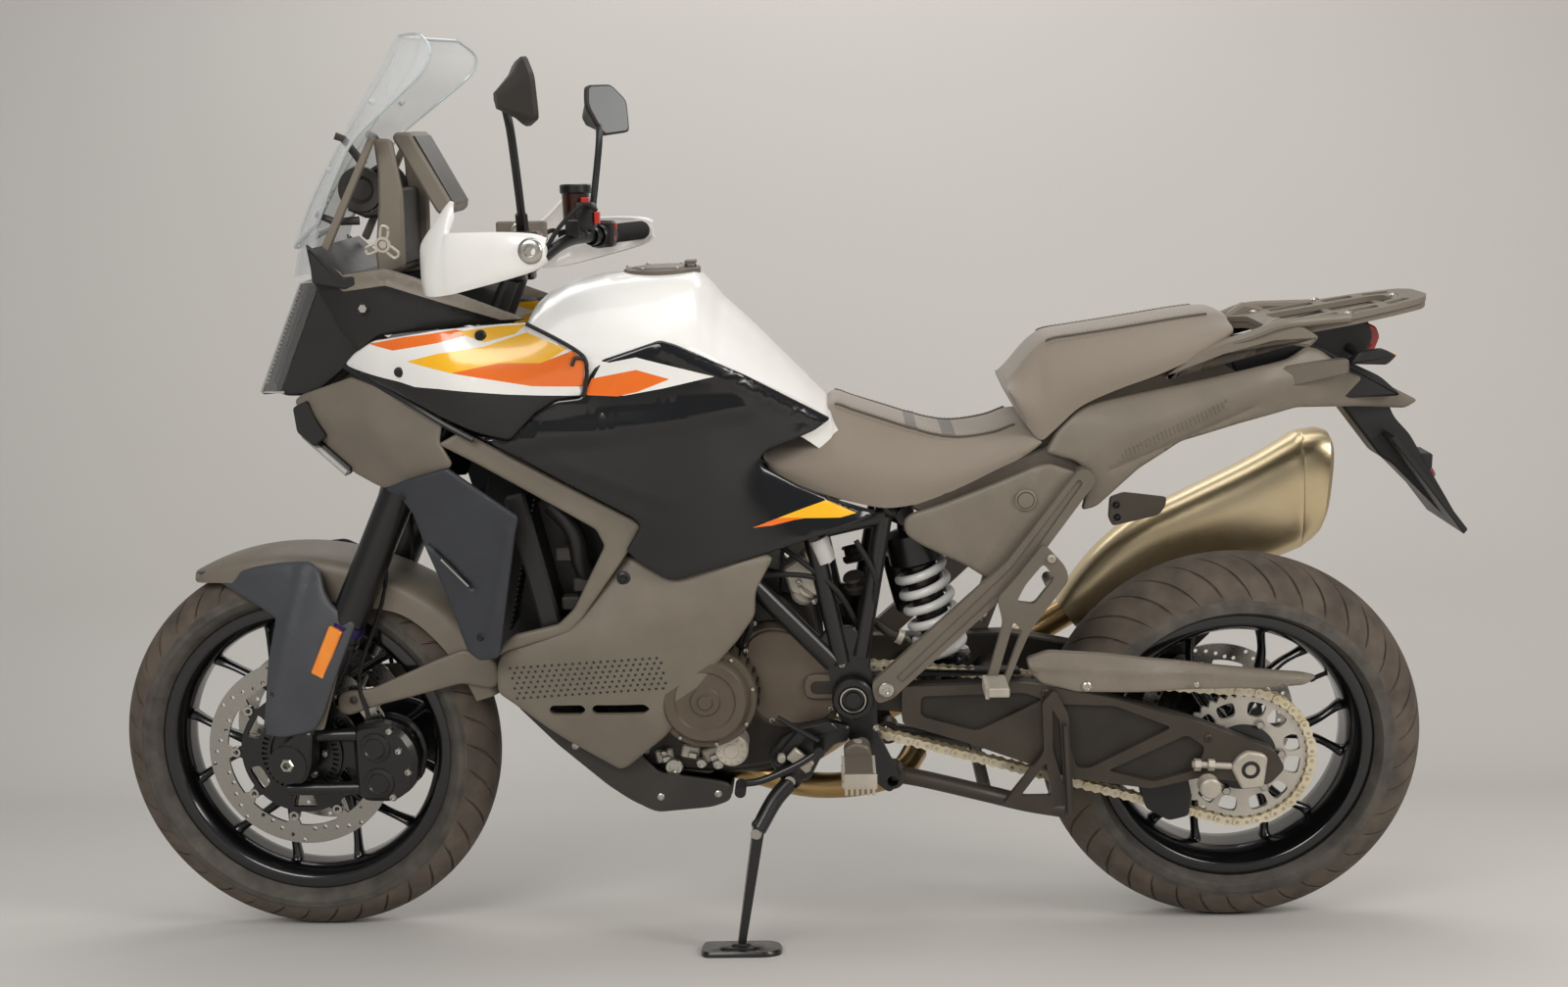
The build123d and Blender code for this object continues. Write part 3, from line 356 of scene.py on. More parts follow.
def tube(path, radius, sides=14, cap=True, flat=1.0, up=(0.03, 0.05, 1.0)):
    # a ring carried along a path: each point is centre + side cos(a) r + over sin(a) r flat
    path = np.asarray(path, float)
    way = np.gradient(path, axis=0)
    way /= np.linalg.norm(way, axis=1, keepdims=True)
    side = np.cross(way, np.array(up, float))
    side /= np.linalg.norm(side, axis=1, keepdims=True)
    over = np.cross(side, way)
    a = np.linspace(0, 2 * math.pi, sides, endpoint=False)
    r = np.broadcast_to(np.asarray(radius, float), (len(path),))[:, None, None]
    ring = path[:, None] + r * (side[:, None] * np.cos(a)[None, :, None]
                                + flat * over[:, None] * np.sin(a)[None, :, None])
    faces = gridFaces(len(path), sides, wrapCols=True).tolist()
    if cap:
        faces += ringCaps(len(path), sides)
    return ring.reshape(-1, 3), faces


def spun(profile, centre, steps=64, way=(0, 1, 0), cap=False):
    # a profile of (along, radius) turned round an axis through centre
    profile = np.asarray(profile, float)
    way = np.array(way, float) / np.linalg.norm(way)
    first = np.cross(way, (0.0, 0.0, 1.0)) if abs(way[2]) < 0.9 else np.cross(way, (0.0, 1.0, 0.0))
    first /= np.linalg.norm(first)
    second = np.cross(way, first)
    a = np.linspace(0, 2 * math.pi, steps, endpoint=False)
    ring = first * np.cos(a)[:, None] + second * np.sin(a)[:, None]
    along, reach = profile[:, 0][:, None, None], profile[:, 1][:, None, None]
    points = np.asarray(centre, float) + way * along + ring[None] * reach
    faces = gridFaces(len(profile), steps, wrapCols=True)[:, ::-1].tolist()
    if cap:
        faces += ringCaps(len(profile), steps)
    return points.reshape(-1, 3), faces


def insideLoop(points, loop):
    # which (u, v) points lie inside a closed loop, by counting crossings
    x, y = points[:, 0][:, None], points[:, 1][:, None]
    a, b = loop, np.roll(loop, -1, 0)
    crosses = (a[:, 1] > y) != (b[:, 1] > y)
    rise = np.where(b[:, 1] == a[:, 1], 1e-9, b[:, 1] - a[:, 1])
    at = a[:, 0] + (y - a[:, 1]) * (b[:, 0] - a[:, 0]) / rise
    return (crosses & (x < at)).sum(1) % 2 == 1


def edgeDistance(points, loop):
    # distance of (u, v) points to a closed loop
    a, b = loop, np.roll(loop, -1, 0)
    run = b - a
    t = np.clip(((points[:, None] - a) * run).sum(-1) / np.maximum((run ** 2).sum(-1), 1e-9), 0, 1)
    return np.linalg.norm(points[:, None] - a - t[..., None] * run, axis=-1).min(1)


def resampled(loop, step, closed=True):
    # a loop with points added so that no side is longer than step
    ends = np.roll(loop, -1, 0) if closed else loop[1:]
    starts = loop if closed else loop[:-1]
    out = []
    for a, b in zip(starts, ends):
        n = max(1, int(math.ceil(np.linalg.norm(b - a) / step)))
        out.append(a + (b - a) * (np.arange(n) / n)[:, None])
    out = np.vstack(out)
    return out if closed else np.vstack([out, loop[-1:]])


def depthField(controls):
    # a smooth sheet y(x, z) through control points: thin plate kernels and a plane
    c = np.asarray(controls, float)
    scale = 300.0
    at, y = c[:, (0, 2)] / scale, c[:, 1]
    kernel = lambda d: np.where(d > 1e-9, d ** 2 * np.log(np.maximum(d, 1e-9)), 0.0)
    k = kernel(np.linalg.norm(at[:, None] - at[None], axis=-1)) + np.eye(len(c)) * 1e-3
    plane = np.hstack([np.ones((len(c), 1)), at])
    full = np.block([[k, plane], [plane.T, np.zeros((3, 3))]])
    weights = np.linalg.solve(full, np.concatenate([y, np.zeros(3)]))

    def depth(p):
        bent = kernel(np.linalg.norm(p[:, None] / scale - at[None], axis=-1)) @ weights[:-3]
        return bent + weights[-3] + (p / scale) @ weights[-2:]
    return depth


def inwardNormals(loop, probe):
    a, b = np.roll(loop, 1, 0), np.roll(loop, -1, 0)
    normal = (b - a)[:, ::-1] * (1, -1)
    normal /= np.maximum(np.linalg.norm(normal, axis=1, keepdims=True), 1e-9)
    return -normal if insideLoop(loop + normal * probe, loop).mean() < 0.5 else normal


def loopEdges(count, start=0):
    return [(start + i, start + (i + 1) % count) for i in range(count)]


def filled(points, edges, loops, merge):
    # triangles inside the first loop and outside every other
    verts, _, tris, *_ = delaunay_2d_cdt([Vector(p) for p in points], edges, [], 0, merge)
    verts = np.array([tuple(v) for v in verts])
    tris = np.array([t for t in tris if len(t) == 3])
    middle = verts[tris].mean(1)
    keep = insideLoop(middle, loops[0])
    for hole in loops[1:]:
        keep &= ~insideLoop(middle, hole)
    return verts, tris[keep]


def openEdges(tris):
    edges = np.vstack([tris[:, [0, 1]], tris[:, [1, 2]], tris[:, [2, 0]]])
    _, index, counts = np.unique(np.sort(edges, 1), axis=0, return_index=True, return_counts=True)
    return edges[index[counts == 1]]


def skin(outline, depth, wall=3.0, corner=10, step=14.0, edge=5.0, regions=(), creases=(), holes=()):
    # a moulded panel seen from the side: its outline is filled with triangles, each point is pushed
    # out to depth(x, z), its edge is rolled inwards like a quarter circle, and an inner wall closes it.
    # regions are (loop, finish number); creases are (x0, z0, x1, z1, rise, width).
    loop = resampled(softLoop(outline, corner), step)
    holeLoops = [resampled(softLoop(h, 4, 3), step) for h in holes]
    low, high = loop.min(0), loop.max(0)
    gx, gz = np.meshgrid(np.arange(low[0], high[0], step), np.arange(low[1], high[1], step * 0.87))
    gx = gx + (np.arange(gx.shape[0])[:, None] % 2) * step / 2
    inner = np.stack([gx.ravel(), gz.ravel()], -1)
    inner = inner[insideLoop(inner, loop)]
    away = edgeDistance(inner, loop)
    inner = inner[away > step * 0.55]
    normal = inwardNormals(loop, 0.5)
    for share in (0.12, 0.4, 1.0):
        ring = loop + normal * edge * share
        ring = ring[insideLoop(ring, loop)]
        inner = np.vstack([inner, ring[edgeDistance(ring, loop) > edge * share * 0.8]])
    constraints, points, count = loopEdges(len(loop)), [loop], len(loop)
    for extra in holeLoops + [resampled(np.asarray(r[0], float), step) for r in regions]:
        constraints += loopEdges(len(extra), count)
        points.append(extra)
        count += len(extra)
    for line in creases:
        ends = resampled(np.array([line[0:2], line[2:4]], float), step, closed=False)
        for off in (-line[5], 0.0, line[5]):
            across = np.array([-(line[3] - line[1]), line[2] - line[0]], float)
            shifted = ends + across / np.linalg.norm(across) * off
            shifted = shifted[insideLoop(shifted, loop)]
            if len(shifted) > 1:
                constraints += [(count + i, count + i + 1) for i in range(len(shifted) - 1)]
                points.append(shifted)
                count += len(shifted)
    verts, tris = filled(np.vstack([*points, inner]), constraints, [loop, *holeLoops], 1e-4)
    used, tris = np.unique(tris, return_inverse=True)
    tris, verts = tris.reshape(-1, 3), verts[used]
    middle = verts[tris].mean(1)
    numbers = np.zeros(len(tris), int)
    for region in regions:
        numbers[insideLoop(middle, np.asarray(region[0], float))] = region[1]
    out = depth(verts)
    for line in creases:
        p0, p1 = np.array(line[0:2], float), np.array(line[2:4], float)
        run = p1 - p0
        t = np.clip(((verts - p0) @ run) / (run @ run), 0, 1)
        off = np.linalg.norm(verts - p0 - t[:, None] * run, axis=1)
        out = out + np.sign(out) * line[4] * np.clip(1 - off / line[5], 0, 1)
    away = np.clip(edgeDistance(verts, loop) / edge, 0, 1)
    roll = edge * 0.8 * (1 - np.sqrt(np.clip(1 - (1 - away) ** 2, 0, 1)))
    sign = 1.0 if out.mean() > 0 else -1.0
    outer = np.stack([verts[:, 0], out - sign * roll, verts[:, 1]], -1)
    innerWall = np.stack([verts[:, 0], out - sign * (wall + edge * 0.8), verts[:, 1]], -1)
    rim = openEdges(tris)
    n = len(verts)
    a, b, c = (verts[tris[:, i]] for i in (0, 1, 2))
    turn = np.sign(((b - a)[:, 0] * (c - a)[:, 1] - (b - a)[:, 1] * (c - a)[:, 0]).sum())
    outerFaces = tris if turn * sign < 0 else tris[:, ::-1]
    innerFaces = outerFaces[:, ::-1] + n
    walls = np.stack([rim[:, 0], rim[:, 1], rim[:, 1] + n, rim[:, 0] + n], -1)
    if turn * sign < 0:
        walls = walls[:, ::-1]
    faces = outerFaces.tolist() + innerFaces.tolist() + walls.tolist()
    numbers = np.concatenate([numbers, numbers, np.zeros(len(rim), int)])
    return np.vstack([outer, innerWall]), faces, numbers.tolist()


def plate(outline, y0, y1, corner=4, chamfer=1.2, steps=4):
    # a flat plate seen from the side, with chamfered edges
    loop = softLoop(outline, corner, steps)
    low, high = min(y0, y1), max(y0, y1)
    small = loop + inwardNormals(loop, 0.2) * chamfer
    rows = [(small, low), (loop, low + chamfer), (loop, high - chamfer), (small, high)]
    points = np.vstack([np.stack([r[:, 0], np.full(len(r), y), r[:, 1]], -1) for r, y in rows])
    n = len(loop)
    faces = gridFaces(4, n, wrapCols=True)
    after = np.roll(loop, -1, 0)
    area = (loop[:, 0] * after[:, 1] - after[:, 0] * loop[:, 1]).sum()
    verts, _, tris, *_ = delaunay_2d_cdt([Vector(p) for p in small], loopEdges(n), [], 1, 1e-5)
    tris = [list(t) for t in tris]
    if len(verts) != n:
        tris = [list(range(n))]
    lowFaces = tris if area > 0 else [t[::-1] for t in tris]
    if len(verts) == n and tris:
        t0 = np.array([tuple(verts[i]) for i in tris[0][:3]])
        ccw = np.cross(t0[1] - t0[0], t0[2] - t0[0]) > 0
        lowFaces = [t if ccw else t[::-1] for t in tris]
    highFaces = [[i + 3 * n for i in t[::-1]] for t in lowFaces]
    sides = (faces if area > 0 else faces[:, ::-1]).tolist()
    return points, lowFaces + highFaces + sides


def screwHeads(places, radius=6.0, height=3.0, way=(0, -1, 0)):
    # button heads with a hollow in the middle, at (x, y, z) places
    profile = [(-1.0, radius), (height * 0.5, radius), (height * 0.95, radius * 0.72), (height, radius * 0.5),
               (height * 0.35, radius * 0.42), (height * 0.3, 0.01)]
    return joined([spun(profile, place, 12, way) for place in places])


def boxAt(middle, size, turn=None):
    # a small block with a chamfer all round, turned by a 3 x 3 matrix
    half = np.array(size, float) / 2
    c = min(half) * 0.28
    corners = np.array([(x, y, z) for x in (-1, 1) for y in (-1, 1) for z in (-1, 1)], float)
    points = np.vstack([corners * (half - np.array(off)) for off in ((0, c, c), (c, 0, c), (c, c, 0))])
    if turn is not None:
        points = points @ np.asarray(turn, float).T
    shape = bmesh.new()
    made = [shape.verts.new(p) for p in points]
    bmesh.ops.convex_hull(shape, input=made)
    shape.verts.index_update()
    faces = [[v.index for v in f.verts] for f in shape.faces]
    shape.free()
    return points + np.asarray(middle, float), faces


def cutPlate(outline, holes, y0, y1):
    # a flat plate seen from the side, through every hole loop
    loops = [np.asarray(loop, float) for loop in [outline, *holes]]
    starts = np.cumsum([0] + [len(loop) for loop in loops]).tolist()
    edges = [pair for start, loop in zip(starts, loops) for pair in loopEdges(len(loop), start)]
    verts, tris = filled(np.vstack(loops), edges, loops, 1e-5)
    rim = openEdges(tris)
    n = len(verts)
    points = np.vstack([np.stack([verts[:, 0], np.full(n, y), verts[:, 1]], -1) for y in (y0, y1)])
    walls = np.stack([rim[:, 1], rim[:, 0], rim[:, 0] + n, rim[:, 1] + n], -1)
    return points, tris.tolist() + (tris[:, ::-1] + n).tolist() + walls.tolist()


def ringLoop(radius, steps=90, centre=(0, 0), turn=0.0):
    # a closed loop round a centre; radius may be a function of the angle
    a = np.linspace(0, 2 * math.pi, steps, endpoint=False) + turn
    r = radius(a) if callable(radius) else radius
    return np.stack([centre[0] + r * np.cos(a), centre[1] + r * np.sin(a)], -1)


def around(count, radius, start=0.0):
    # places spaced evenly on a circle, as (x, z, angle)
    a = np.linspace(0, 2 * math.pi, count, endpoint=False) + start
    return np.stack([radius * np.cos(a), radius * np.sin(a), a], -1)


def slantedLoops(corners, places, corner=6, steps=3):
    # one small loop at each place of a circle; its corners are (along the circle, outwards)
    return [softLoop([(x + u * -math.sin(a) + v * math.cos(a), z + u * math.cos(a) + v * math.sin(a))
                      for u, v in corners], corner, steps)
            for x, z, a in places]


# Outlines are drawn as the studio camera sees them in the plane 210 mm left of the middle, and
# onDepth slides each point along its sight line to where the panel really is.
view = {"focalPx": 1800.0, "widthPx": 1600.0, "eye": (884.9, -3096.4, 636.2), "yaw": -0.0242,
        "pitch": 0.0313, "roll": -0.0154}
eyeAt = np.array(view["eye"]) @ leanTurn
steeredEye = (eyeAt - steerFoot) @ steerTurn + steerFoot


def onDepth(outline, depth, plane=210.0, steered=False):
    # outline points (x, z) in one plane become (x, z) on the sheet |y| = depth(x, z)
    eye = steeredEye if steered else eyeAt
    drawn = np.asarray(outline, float)
    found = drawn.copy()
    for _ in range(4):
        reach = depth(found) if callable(depth) else np.full(len(found), float(depth))
        share = (-reach - eye[1]) / (-plane - eye[1])
        found = eye[[0, 2]] + (drawn - eye[[0, 2]]) * share[:, None]
    return found


def facetField(facets, soften=2.0):
    # flat facets that meet in crisp ridges: each is a plane through three points, and the lowest one counts
    fits = np.array([np.linalg.solve([(x, z, 1.0) for x, _, z in f], [y for _, y, _ in f]) for f in facets])

    def depth(p):
        each = p @ fits[:, :2].T + fits[:, 2]
        least = each.min(1)
        return least - soften * np.log(np.exp((least[:, None] - each) / soften).sum(1))
    return depth


def sheetOf(controls):
    return facetField(controls) if np.ndim(controls) == 3 else depthField(controls)


def laidOn(places, controls, plane=210.0, out=1.0):
    # points of a drawing laid on the outer face of a left-hand panel
    sheet = sheetOf(controls)
    flat = onDepth(places, sheet, plane)
    return np.column_stack([flat[:, 0], -sheet(flat) - out, flat[:, 1]])


def bodyPanel(name, outline, controls, finishes, regions=(), body="chassis", plane=210.0, replaces=(),
              onlyLeft=False, **more):
    depth = sheetOf(controls)
    steered = body == "steering"
    loop = onDepth(outline, depth, plane, steered)
    parts = [(onDepth(r, depth, plane, steered), n) for r, n in regions]
    more["creases"] = [(*onDepth([c[0:2], c[2:4]], depth, plane, steered).ravel(), *c[4:])
                       for c in more.get("creases", ())]
    more["holes"] = [onDepth(h, depth, plane, steered) for h in more.get("holes", ())]
    part = skin(loop, depth, regions=parts, **more)
    sides = [mirrored(part)] if onlyLeft else twoSides([part])
    return finishMesh(name, sides, finishes, body, replaces=replaces)


shroudDepth = [
    (130, 112, 1020), (170, 150, 1030), (200, 178, 990), (250, 196, 1045), (300, 214, 1048), (330, 236, 990),
    (430, 222, 1058), (470, 244, 990), (520, 238, 1000), (520, 234, 950), (400, 236, 900), (300, 222, 930),
    (220, 186, 965), (360, 215, 1056),
]
bodyPanel("sideShrouds",
          [(157, 1006), (172, 1022), (203, 1041), (300, 1055), (372, 1061), (437, 1064), (476, 1042),
           (510, 1021), (523, 1008), (524, 985), (515, 950), (476, 946), (442, 925), (402, 884), (346, 899),
           (300, 921), (226, 964)],
          shroudDepth, ["whitePaint", "blackPaint", "orangePaint", "yellowPaint"],
          regions=[([(140, 1003), (160, 1004), (240, 978), (262, 970), (300, 966), (400, 956), (514, 952),
                     (530, 945), (520, 900), (400, 860), (300, 900), (200, 950)], 1),
                   ([(196, 1037), (250, 1046), (330, 1056), (355, 1050), (300, 1036), (232, 1026)], 2),
                   ([(252, 1009), (318, 990), (392, 1002), (455, 1000), (497, 1024), (437, 1050), (372, 1030),
                     (300, 1020)], 3),
                   ([(318, 990), (440, 968), (519, 966), (523, 1004), (505, 1021), (455, 1003), (392, 1004)],
                    2),
                   ([(330, 1052), (392, 1060), (436, 1062), (420, 1048), (372, 1036)], 3)], corner=8, edge=5,
          wall=3, replaces=("shrouds",))
sideDepth = [
    (350, 222, 890), (440, 232, 925), (475, 236, 945), (520, 234, 950), (545, 226, 1003), (637, 214, 1034),
    (720, 200, 1000), (760, 190, 982), (890, 118, 912), (860, 140, 880), (786, 170, 845), (850, 158, 805),
    (960, 128, 765), (955, 140, 757), (810, 186, 705), (650, 212, 660), (573, 216, 708), (598, 226, 748),
    (500, 230, 806), (600, 232, 900), (700, 212, 850), (800, 180, 760),
]
bodyPanel("tankSides",
          [(348, 893), (402, 884), (442, 925), (476, 946), (515, 950), (528, 980), (542, 1004), (572, 1013),
           (637, 1034), (660, 1027), (760, 981), (893, 910), (868, 892), (795, 862), (783, 850), (790, 836),
           (840, 808), (900, 783), (962, 764), (955, 757), (900, 736), (810, 706), (700, 674), (650, 660),
           (630, 664), (590, 690), (573, 708), (598, 748), (586, 760), (500, 808), (430, 848)], sideDepth,
          ["blackPaint", "whitePaint", "orangePaint", "yellowPaint"],
          regions=[([(521, 954), (546, 998), (556, 1001), (600, 1009), (718, 978), (640, 961), (580, 951)],
                    1),
                   ([(519, 953), (532, 978), (600, 990), (650, 975), (600, 956), (570, 950)], 2),
                   ([(770, 742), (850, 772), (884, 784), (930, 763), (905, 756), (850, 756)], 3),
                   ([(770, 742), (810, 757), (850, 757), (800, 745)], 2)],
          creases=[(402, 884, 760, 930, 5, 26), (480, 850, 640, 790, 3, 22), (640, 1022, 880, 905, 3, 12)],
          corner=6, edge=5, wall=3, replaces=("tank_sides",))
print("shrouds and tank sides done")

tankLine = {
    "x": (424, 434, 450, 480, 520, 560, 600, 640, 680, 696, 720, 760, 800, 850, 893, 905),
    "top": (1066, 1082, 1095, 1108, 1117, 1121, 1124, 1125, 1123, 1110, 1080, 1042, 1002, 948, 903, 880),
    "border": (1046, 1060, 1052, 1036, 1008, 1002, 1010, 1020, 1018, 1010, 998, 976, 955, 928, 890, 870),
    "half": (150, 188, 205, 219, 228, 226, 219, 211, 202, 198, 191, 178, 162, 136, 106, 95),
}
spans = zip(tankLine["x"], tankLine["x"][1:])
xs = np.concatenate([np.linspace(a, b, 5, endpoint=False) for a, b in spans] + [[905]])
top, border, half = (np.interp(xs, tankLine["x"], tankLine[k]) for k in ("top", "border", "half"))
blur = np.array([1, 2, 3, 2, 1]) / 9.0
top, border, half = (np.convolve(np.pad(v, 2, "edge"), blur, "valid") for v in (top, border, half))
# Tank: y = half t and z = top - (top - border) |t|^2.3, for t from -1 to 1.
t = np.linspace(-1, 1, 49)
shape = np.abs(t) ** 2.3
tankZ = top[:, None] - (top - border)[:, None] * shape[None]
tankTop = np.stack([np.broadcast_to(xs[:, None], tankZ.shape), half[:, None] * t[None], tankZ], -1)
skirt = tankTop[:, [0, -1]] - (0, 0, 60)
tankRing = np.concatenate([skirt[:, :1] * (1, 0.97, 1), tankTop, skirt[:, 1:] * (1, 0.97, 1)], 1)
tankFaces = gridFaces(*tankRing.shape[:2])[:, ::-1].tolist() + ringCaps(*tankRing.shape[:2])
finishMesh("fuelTank", [(tankRing, tankFaces)], "whitePaint", replaces=("fuel_tank",), sharpDeg=50)
parts = []
add(parts, 0,
    spun([(-6, 62), (2, 62), (4, 60), (4, 50), (1, 48), (1, 44), (5, 42), (7, 38), (7, 8), (5, 0.01)],
         (626, 0, 1122), 48, (-0.02, 0, 1)))
for a in np.linspace(0, 2 * math.pi, 7)[:-1]:
    place = (626 + 55 * math.cos(a), 55 * math.sin(a), 1127)
    add(parts, 1, spun([(0, 3.4), (2.4, 3.2), (3, 2)], place, 10, (0, 0, 1), True))
add(parts, 0, boxAt((672, 0, 1134), (18, 30, 6)))
finishMesh("fillerCap", parts, ["bronzeMetal", "silverBolt"])

frameDepth = [(292, 214, 878), (350, 214, 890), (590, 214, 760), (575, 212, 700), (500, 206, 600),
              (400, 196, 560), (380, 190, 540), (450, 205, 700)]
bodyPanel("ductFrames",
          [(291, 880), (325, 898), (348, 888), (430, 842), (586, 757), (598, 746), (575, 704), (500, 600),
           (478, 577), (378, 548), (366, 540), (374, 560), (392, 574), (462, 590), (488, 615), (540, 716),
           (528, 742), (350, 848)], frameDepth, "bronzeAbs", corner=6, edge=6, wall=6, step=10,
          replaces=("radiator_ducts",))
ridge = [(366, 186, 532), (520, 218, 572), (770, 204, 632)]
panelDepth = [(ridge[0], ridge[1], (430, 190, 575)), (ridge[1], ridge[2], (600, 194, 692)),
              (ridge[0], ridge[1], (470, 184, 398)), (ridge[1], ridge[2], (650, 190, 440)),
              ((440, 190, 436), (612, 198, 436), (560, 166, 350))]
bodyPanel("sidePanels",
          [(361, 480), (362, 522), (372, 546), (400, 560), (480, 584), (502, 606), (572, 703), (590, 692),
           (632, 668), (652, 663), (700, 678), (790, 698), (800, 692), (772, 640), (770, 600), (742, 560),
           (706, 520), (660, 450), (625, 405), (560, 352), (548, 350), (470, 398), (385, 462)], panelDepth,
          "bronzeAbs",
          holes=[[(446, 443), (494, 443), (500, 451), (494, 459), (446, 459), (441, 451)],
                 [(514, 443), (592, 443), (602, 451), (592, 459), (514, 459), (508, 451)]], corner=10, edge=7,
          wall=4, replaces=("side_panels",))
finDepth = [(205, 190, 812), (240, 206, 790), (310, 222, 842), (408, 232, 765), (365, 226, 537),
            (330, 220, 545), (275, 208, 700)]
bodyPanel("radiatorFins",
          [(204, 811), (240, 826), (303, 843), (312, 836), (409, 764), (402, 735), (367, 538), (336, 533),
           (318, 548), (290, 640), (262, 716), (246, 772), (228, 798)], finDepth, "finAbs",
          creases=[(268, 722, 334, 650, -4, 6), (395, 740, 352, 560, 3, 14)], corner=7, edge=5, wall=4,
          step=10, replaces=("fins",))
ridge = [(60, 92, 918), (178, 172, 905), (300, 216, 868)]
cowlDepth = [(ridge[0], ridge[1], (160, 138, 984)), (ridge[1], ridge[2], (228, 176, 962)),
             (ridge[0], ridge[1], (150, 128, 842)), (ridge[1], ridge[2], (204, 168, 812))]
bodyPanel(
    "frontCowls",
    [(77, 952), (86, 960), (165, 986), (228, 964), (300, 912), (294, 884), (311, 850), (306, 842), (204, 813),
     (190, 820), (160, 838), (100, 900), (92, 912)],
    cowlDepth, "bronzeAbs", corner=5, edge=4, wall=4, step=10, replaces=("cowls",))
print("tank, ducts, side panels, fins and cowls done")

# Trim on the panels: black bolts, the black seam that hooks round the shroud, a lamp strip on each cowl.
shroudSeam = smoothPath(laidOn([(437, 1063), (480, 1040), (512, 1020), (524, 1006), (525, 985), (519, 950)],
                               shroudDepth), 4)
seamHook = laidOn([(522, 1009), (508, 1010), (503, 998)], shroudDepth, out=2)
parts = [(*tube(shroudSeam, 3.2, 8), 0), (*tube(seamHook, 3, 8), 0)]
screws = [((367, 1046), 9, shroudDepth), ((240, 993), 8, shroudDepth), ((568, 665), 11, panelDepth),
          ((232, 800), 6, finDepth), ((340, 573), 6, finDepth), ((392, 895), 7, sideDepth)]
for at, size, controls in screws:
    spot = laidOn([at], controls, out=-1)[0]
    add(parts, 0, screwHeads([spot], size, 5))
    add(parts, 2, spun([(0, size * 0.5), (6.5, size * 0.45), (6.6, 0.1)], spot, 6, (0, -1, 0)))
add(parts, 0, tube(laidOn([(276, 716), (300, 690), (330, 654)], finDepth, out=0), [2, 5, 2.5], 8, flat=0.4))
add(parts, 1, tube(laidOn([(286, 700), (326, 656)], finDepth, out=2.5), 1.4, 6))
strip = laidOn([(96, 902), (108, 890), (158, 842)], cowlDepth, out=0)
add(parts, 0, tube(strip + (-3, 0, 0), 8.5, 8))
add(parts, 1, tube(strip + (-7, -5, -3), 6, 8))
frontBox = plate([(40, 924), (62, 934), (78, 900), (92, 878), (70, 860), (44, 884)], -104, -84, 5, 2)
add(parts, 0, frontBox)
lowStrip = laidOn([(158, 1003), (250, 946), (300, 913), (346, 886)], shroudDepth, out=-3)
add(parts, 0, tube(smoothPath(lowStrip, 3), 5, 8))
finishMesh("bodyTrim", twoSides(parts), ["blackAbs", "lampInside", "rubber"])


def dimples(corners, rows, cols, depth, radius, plane, steps=6):
    # low pips in a slanted grid over a panel: corners are (x, z) of its low left, low right, top left
    a, b, c = (np.array(p, float) for p in corners)
    places = [a + (b - a) * (i + 0.5 * (j % 2)) / cols + (c - a) * j / rows
              for j in range(rows) for i in range(cols)]
    spots = laidOn(places, depth, plane, 0.0)
    pip = [(-1.0, radius), (0.5, radius * 0.95), (1.1, radius * 0.55), (1.2, 0.1)]
    return twoSides([spun(pip, spot, steps, (0, -1, 0)) for spot in spots])


# the side panel's pips are black: painted shade standing in for the shaded hollows of its dimples, on a panel
# of one bronze plastic
finishMesh("panelPipsPaintedShade", dimples([(392, 472), (634, 486), (382, 530)], 7, 22, panelDepth, 2.4, 210.0),
           "blackAbs")
print("body trim done")

# Wheels and tyres. A tyre's crown is an arc of radius rho; its grooves are sunk where the place
# round the wheel, sheared by the distance from the middle, falls near a whole pitch.
tyreShape = {
    "frontTyre": {"radius": 325.3, "half": 60.0, "rim": 250.0, "rimHalf": 43.0, "pitches": 38, "slant": 1.0,
                  "body": "front_wheel", "node": "front_tyre", "centre": (0.0, axles["frontZ"])},
    "rearTyre": {"radius": 318.0, "half": 85.0, "rim": 228.0, "rimHalf": 64.0, "pitches": 38, "slant": -1.0,
                 "body": "rear_wheel", "node": "rear_tyre", "centre": (axles["rearX"], axles["rearZ"])},
}
groove = {"depth": 4.0, "shares": (0.0, 0.045, 0.06, 0.25, 0.5, 0.75, 0.94, 0.955), "wall": 9.0}


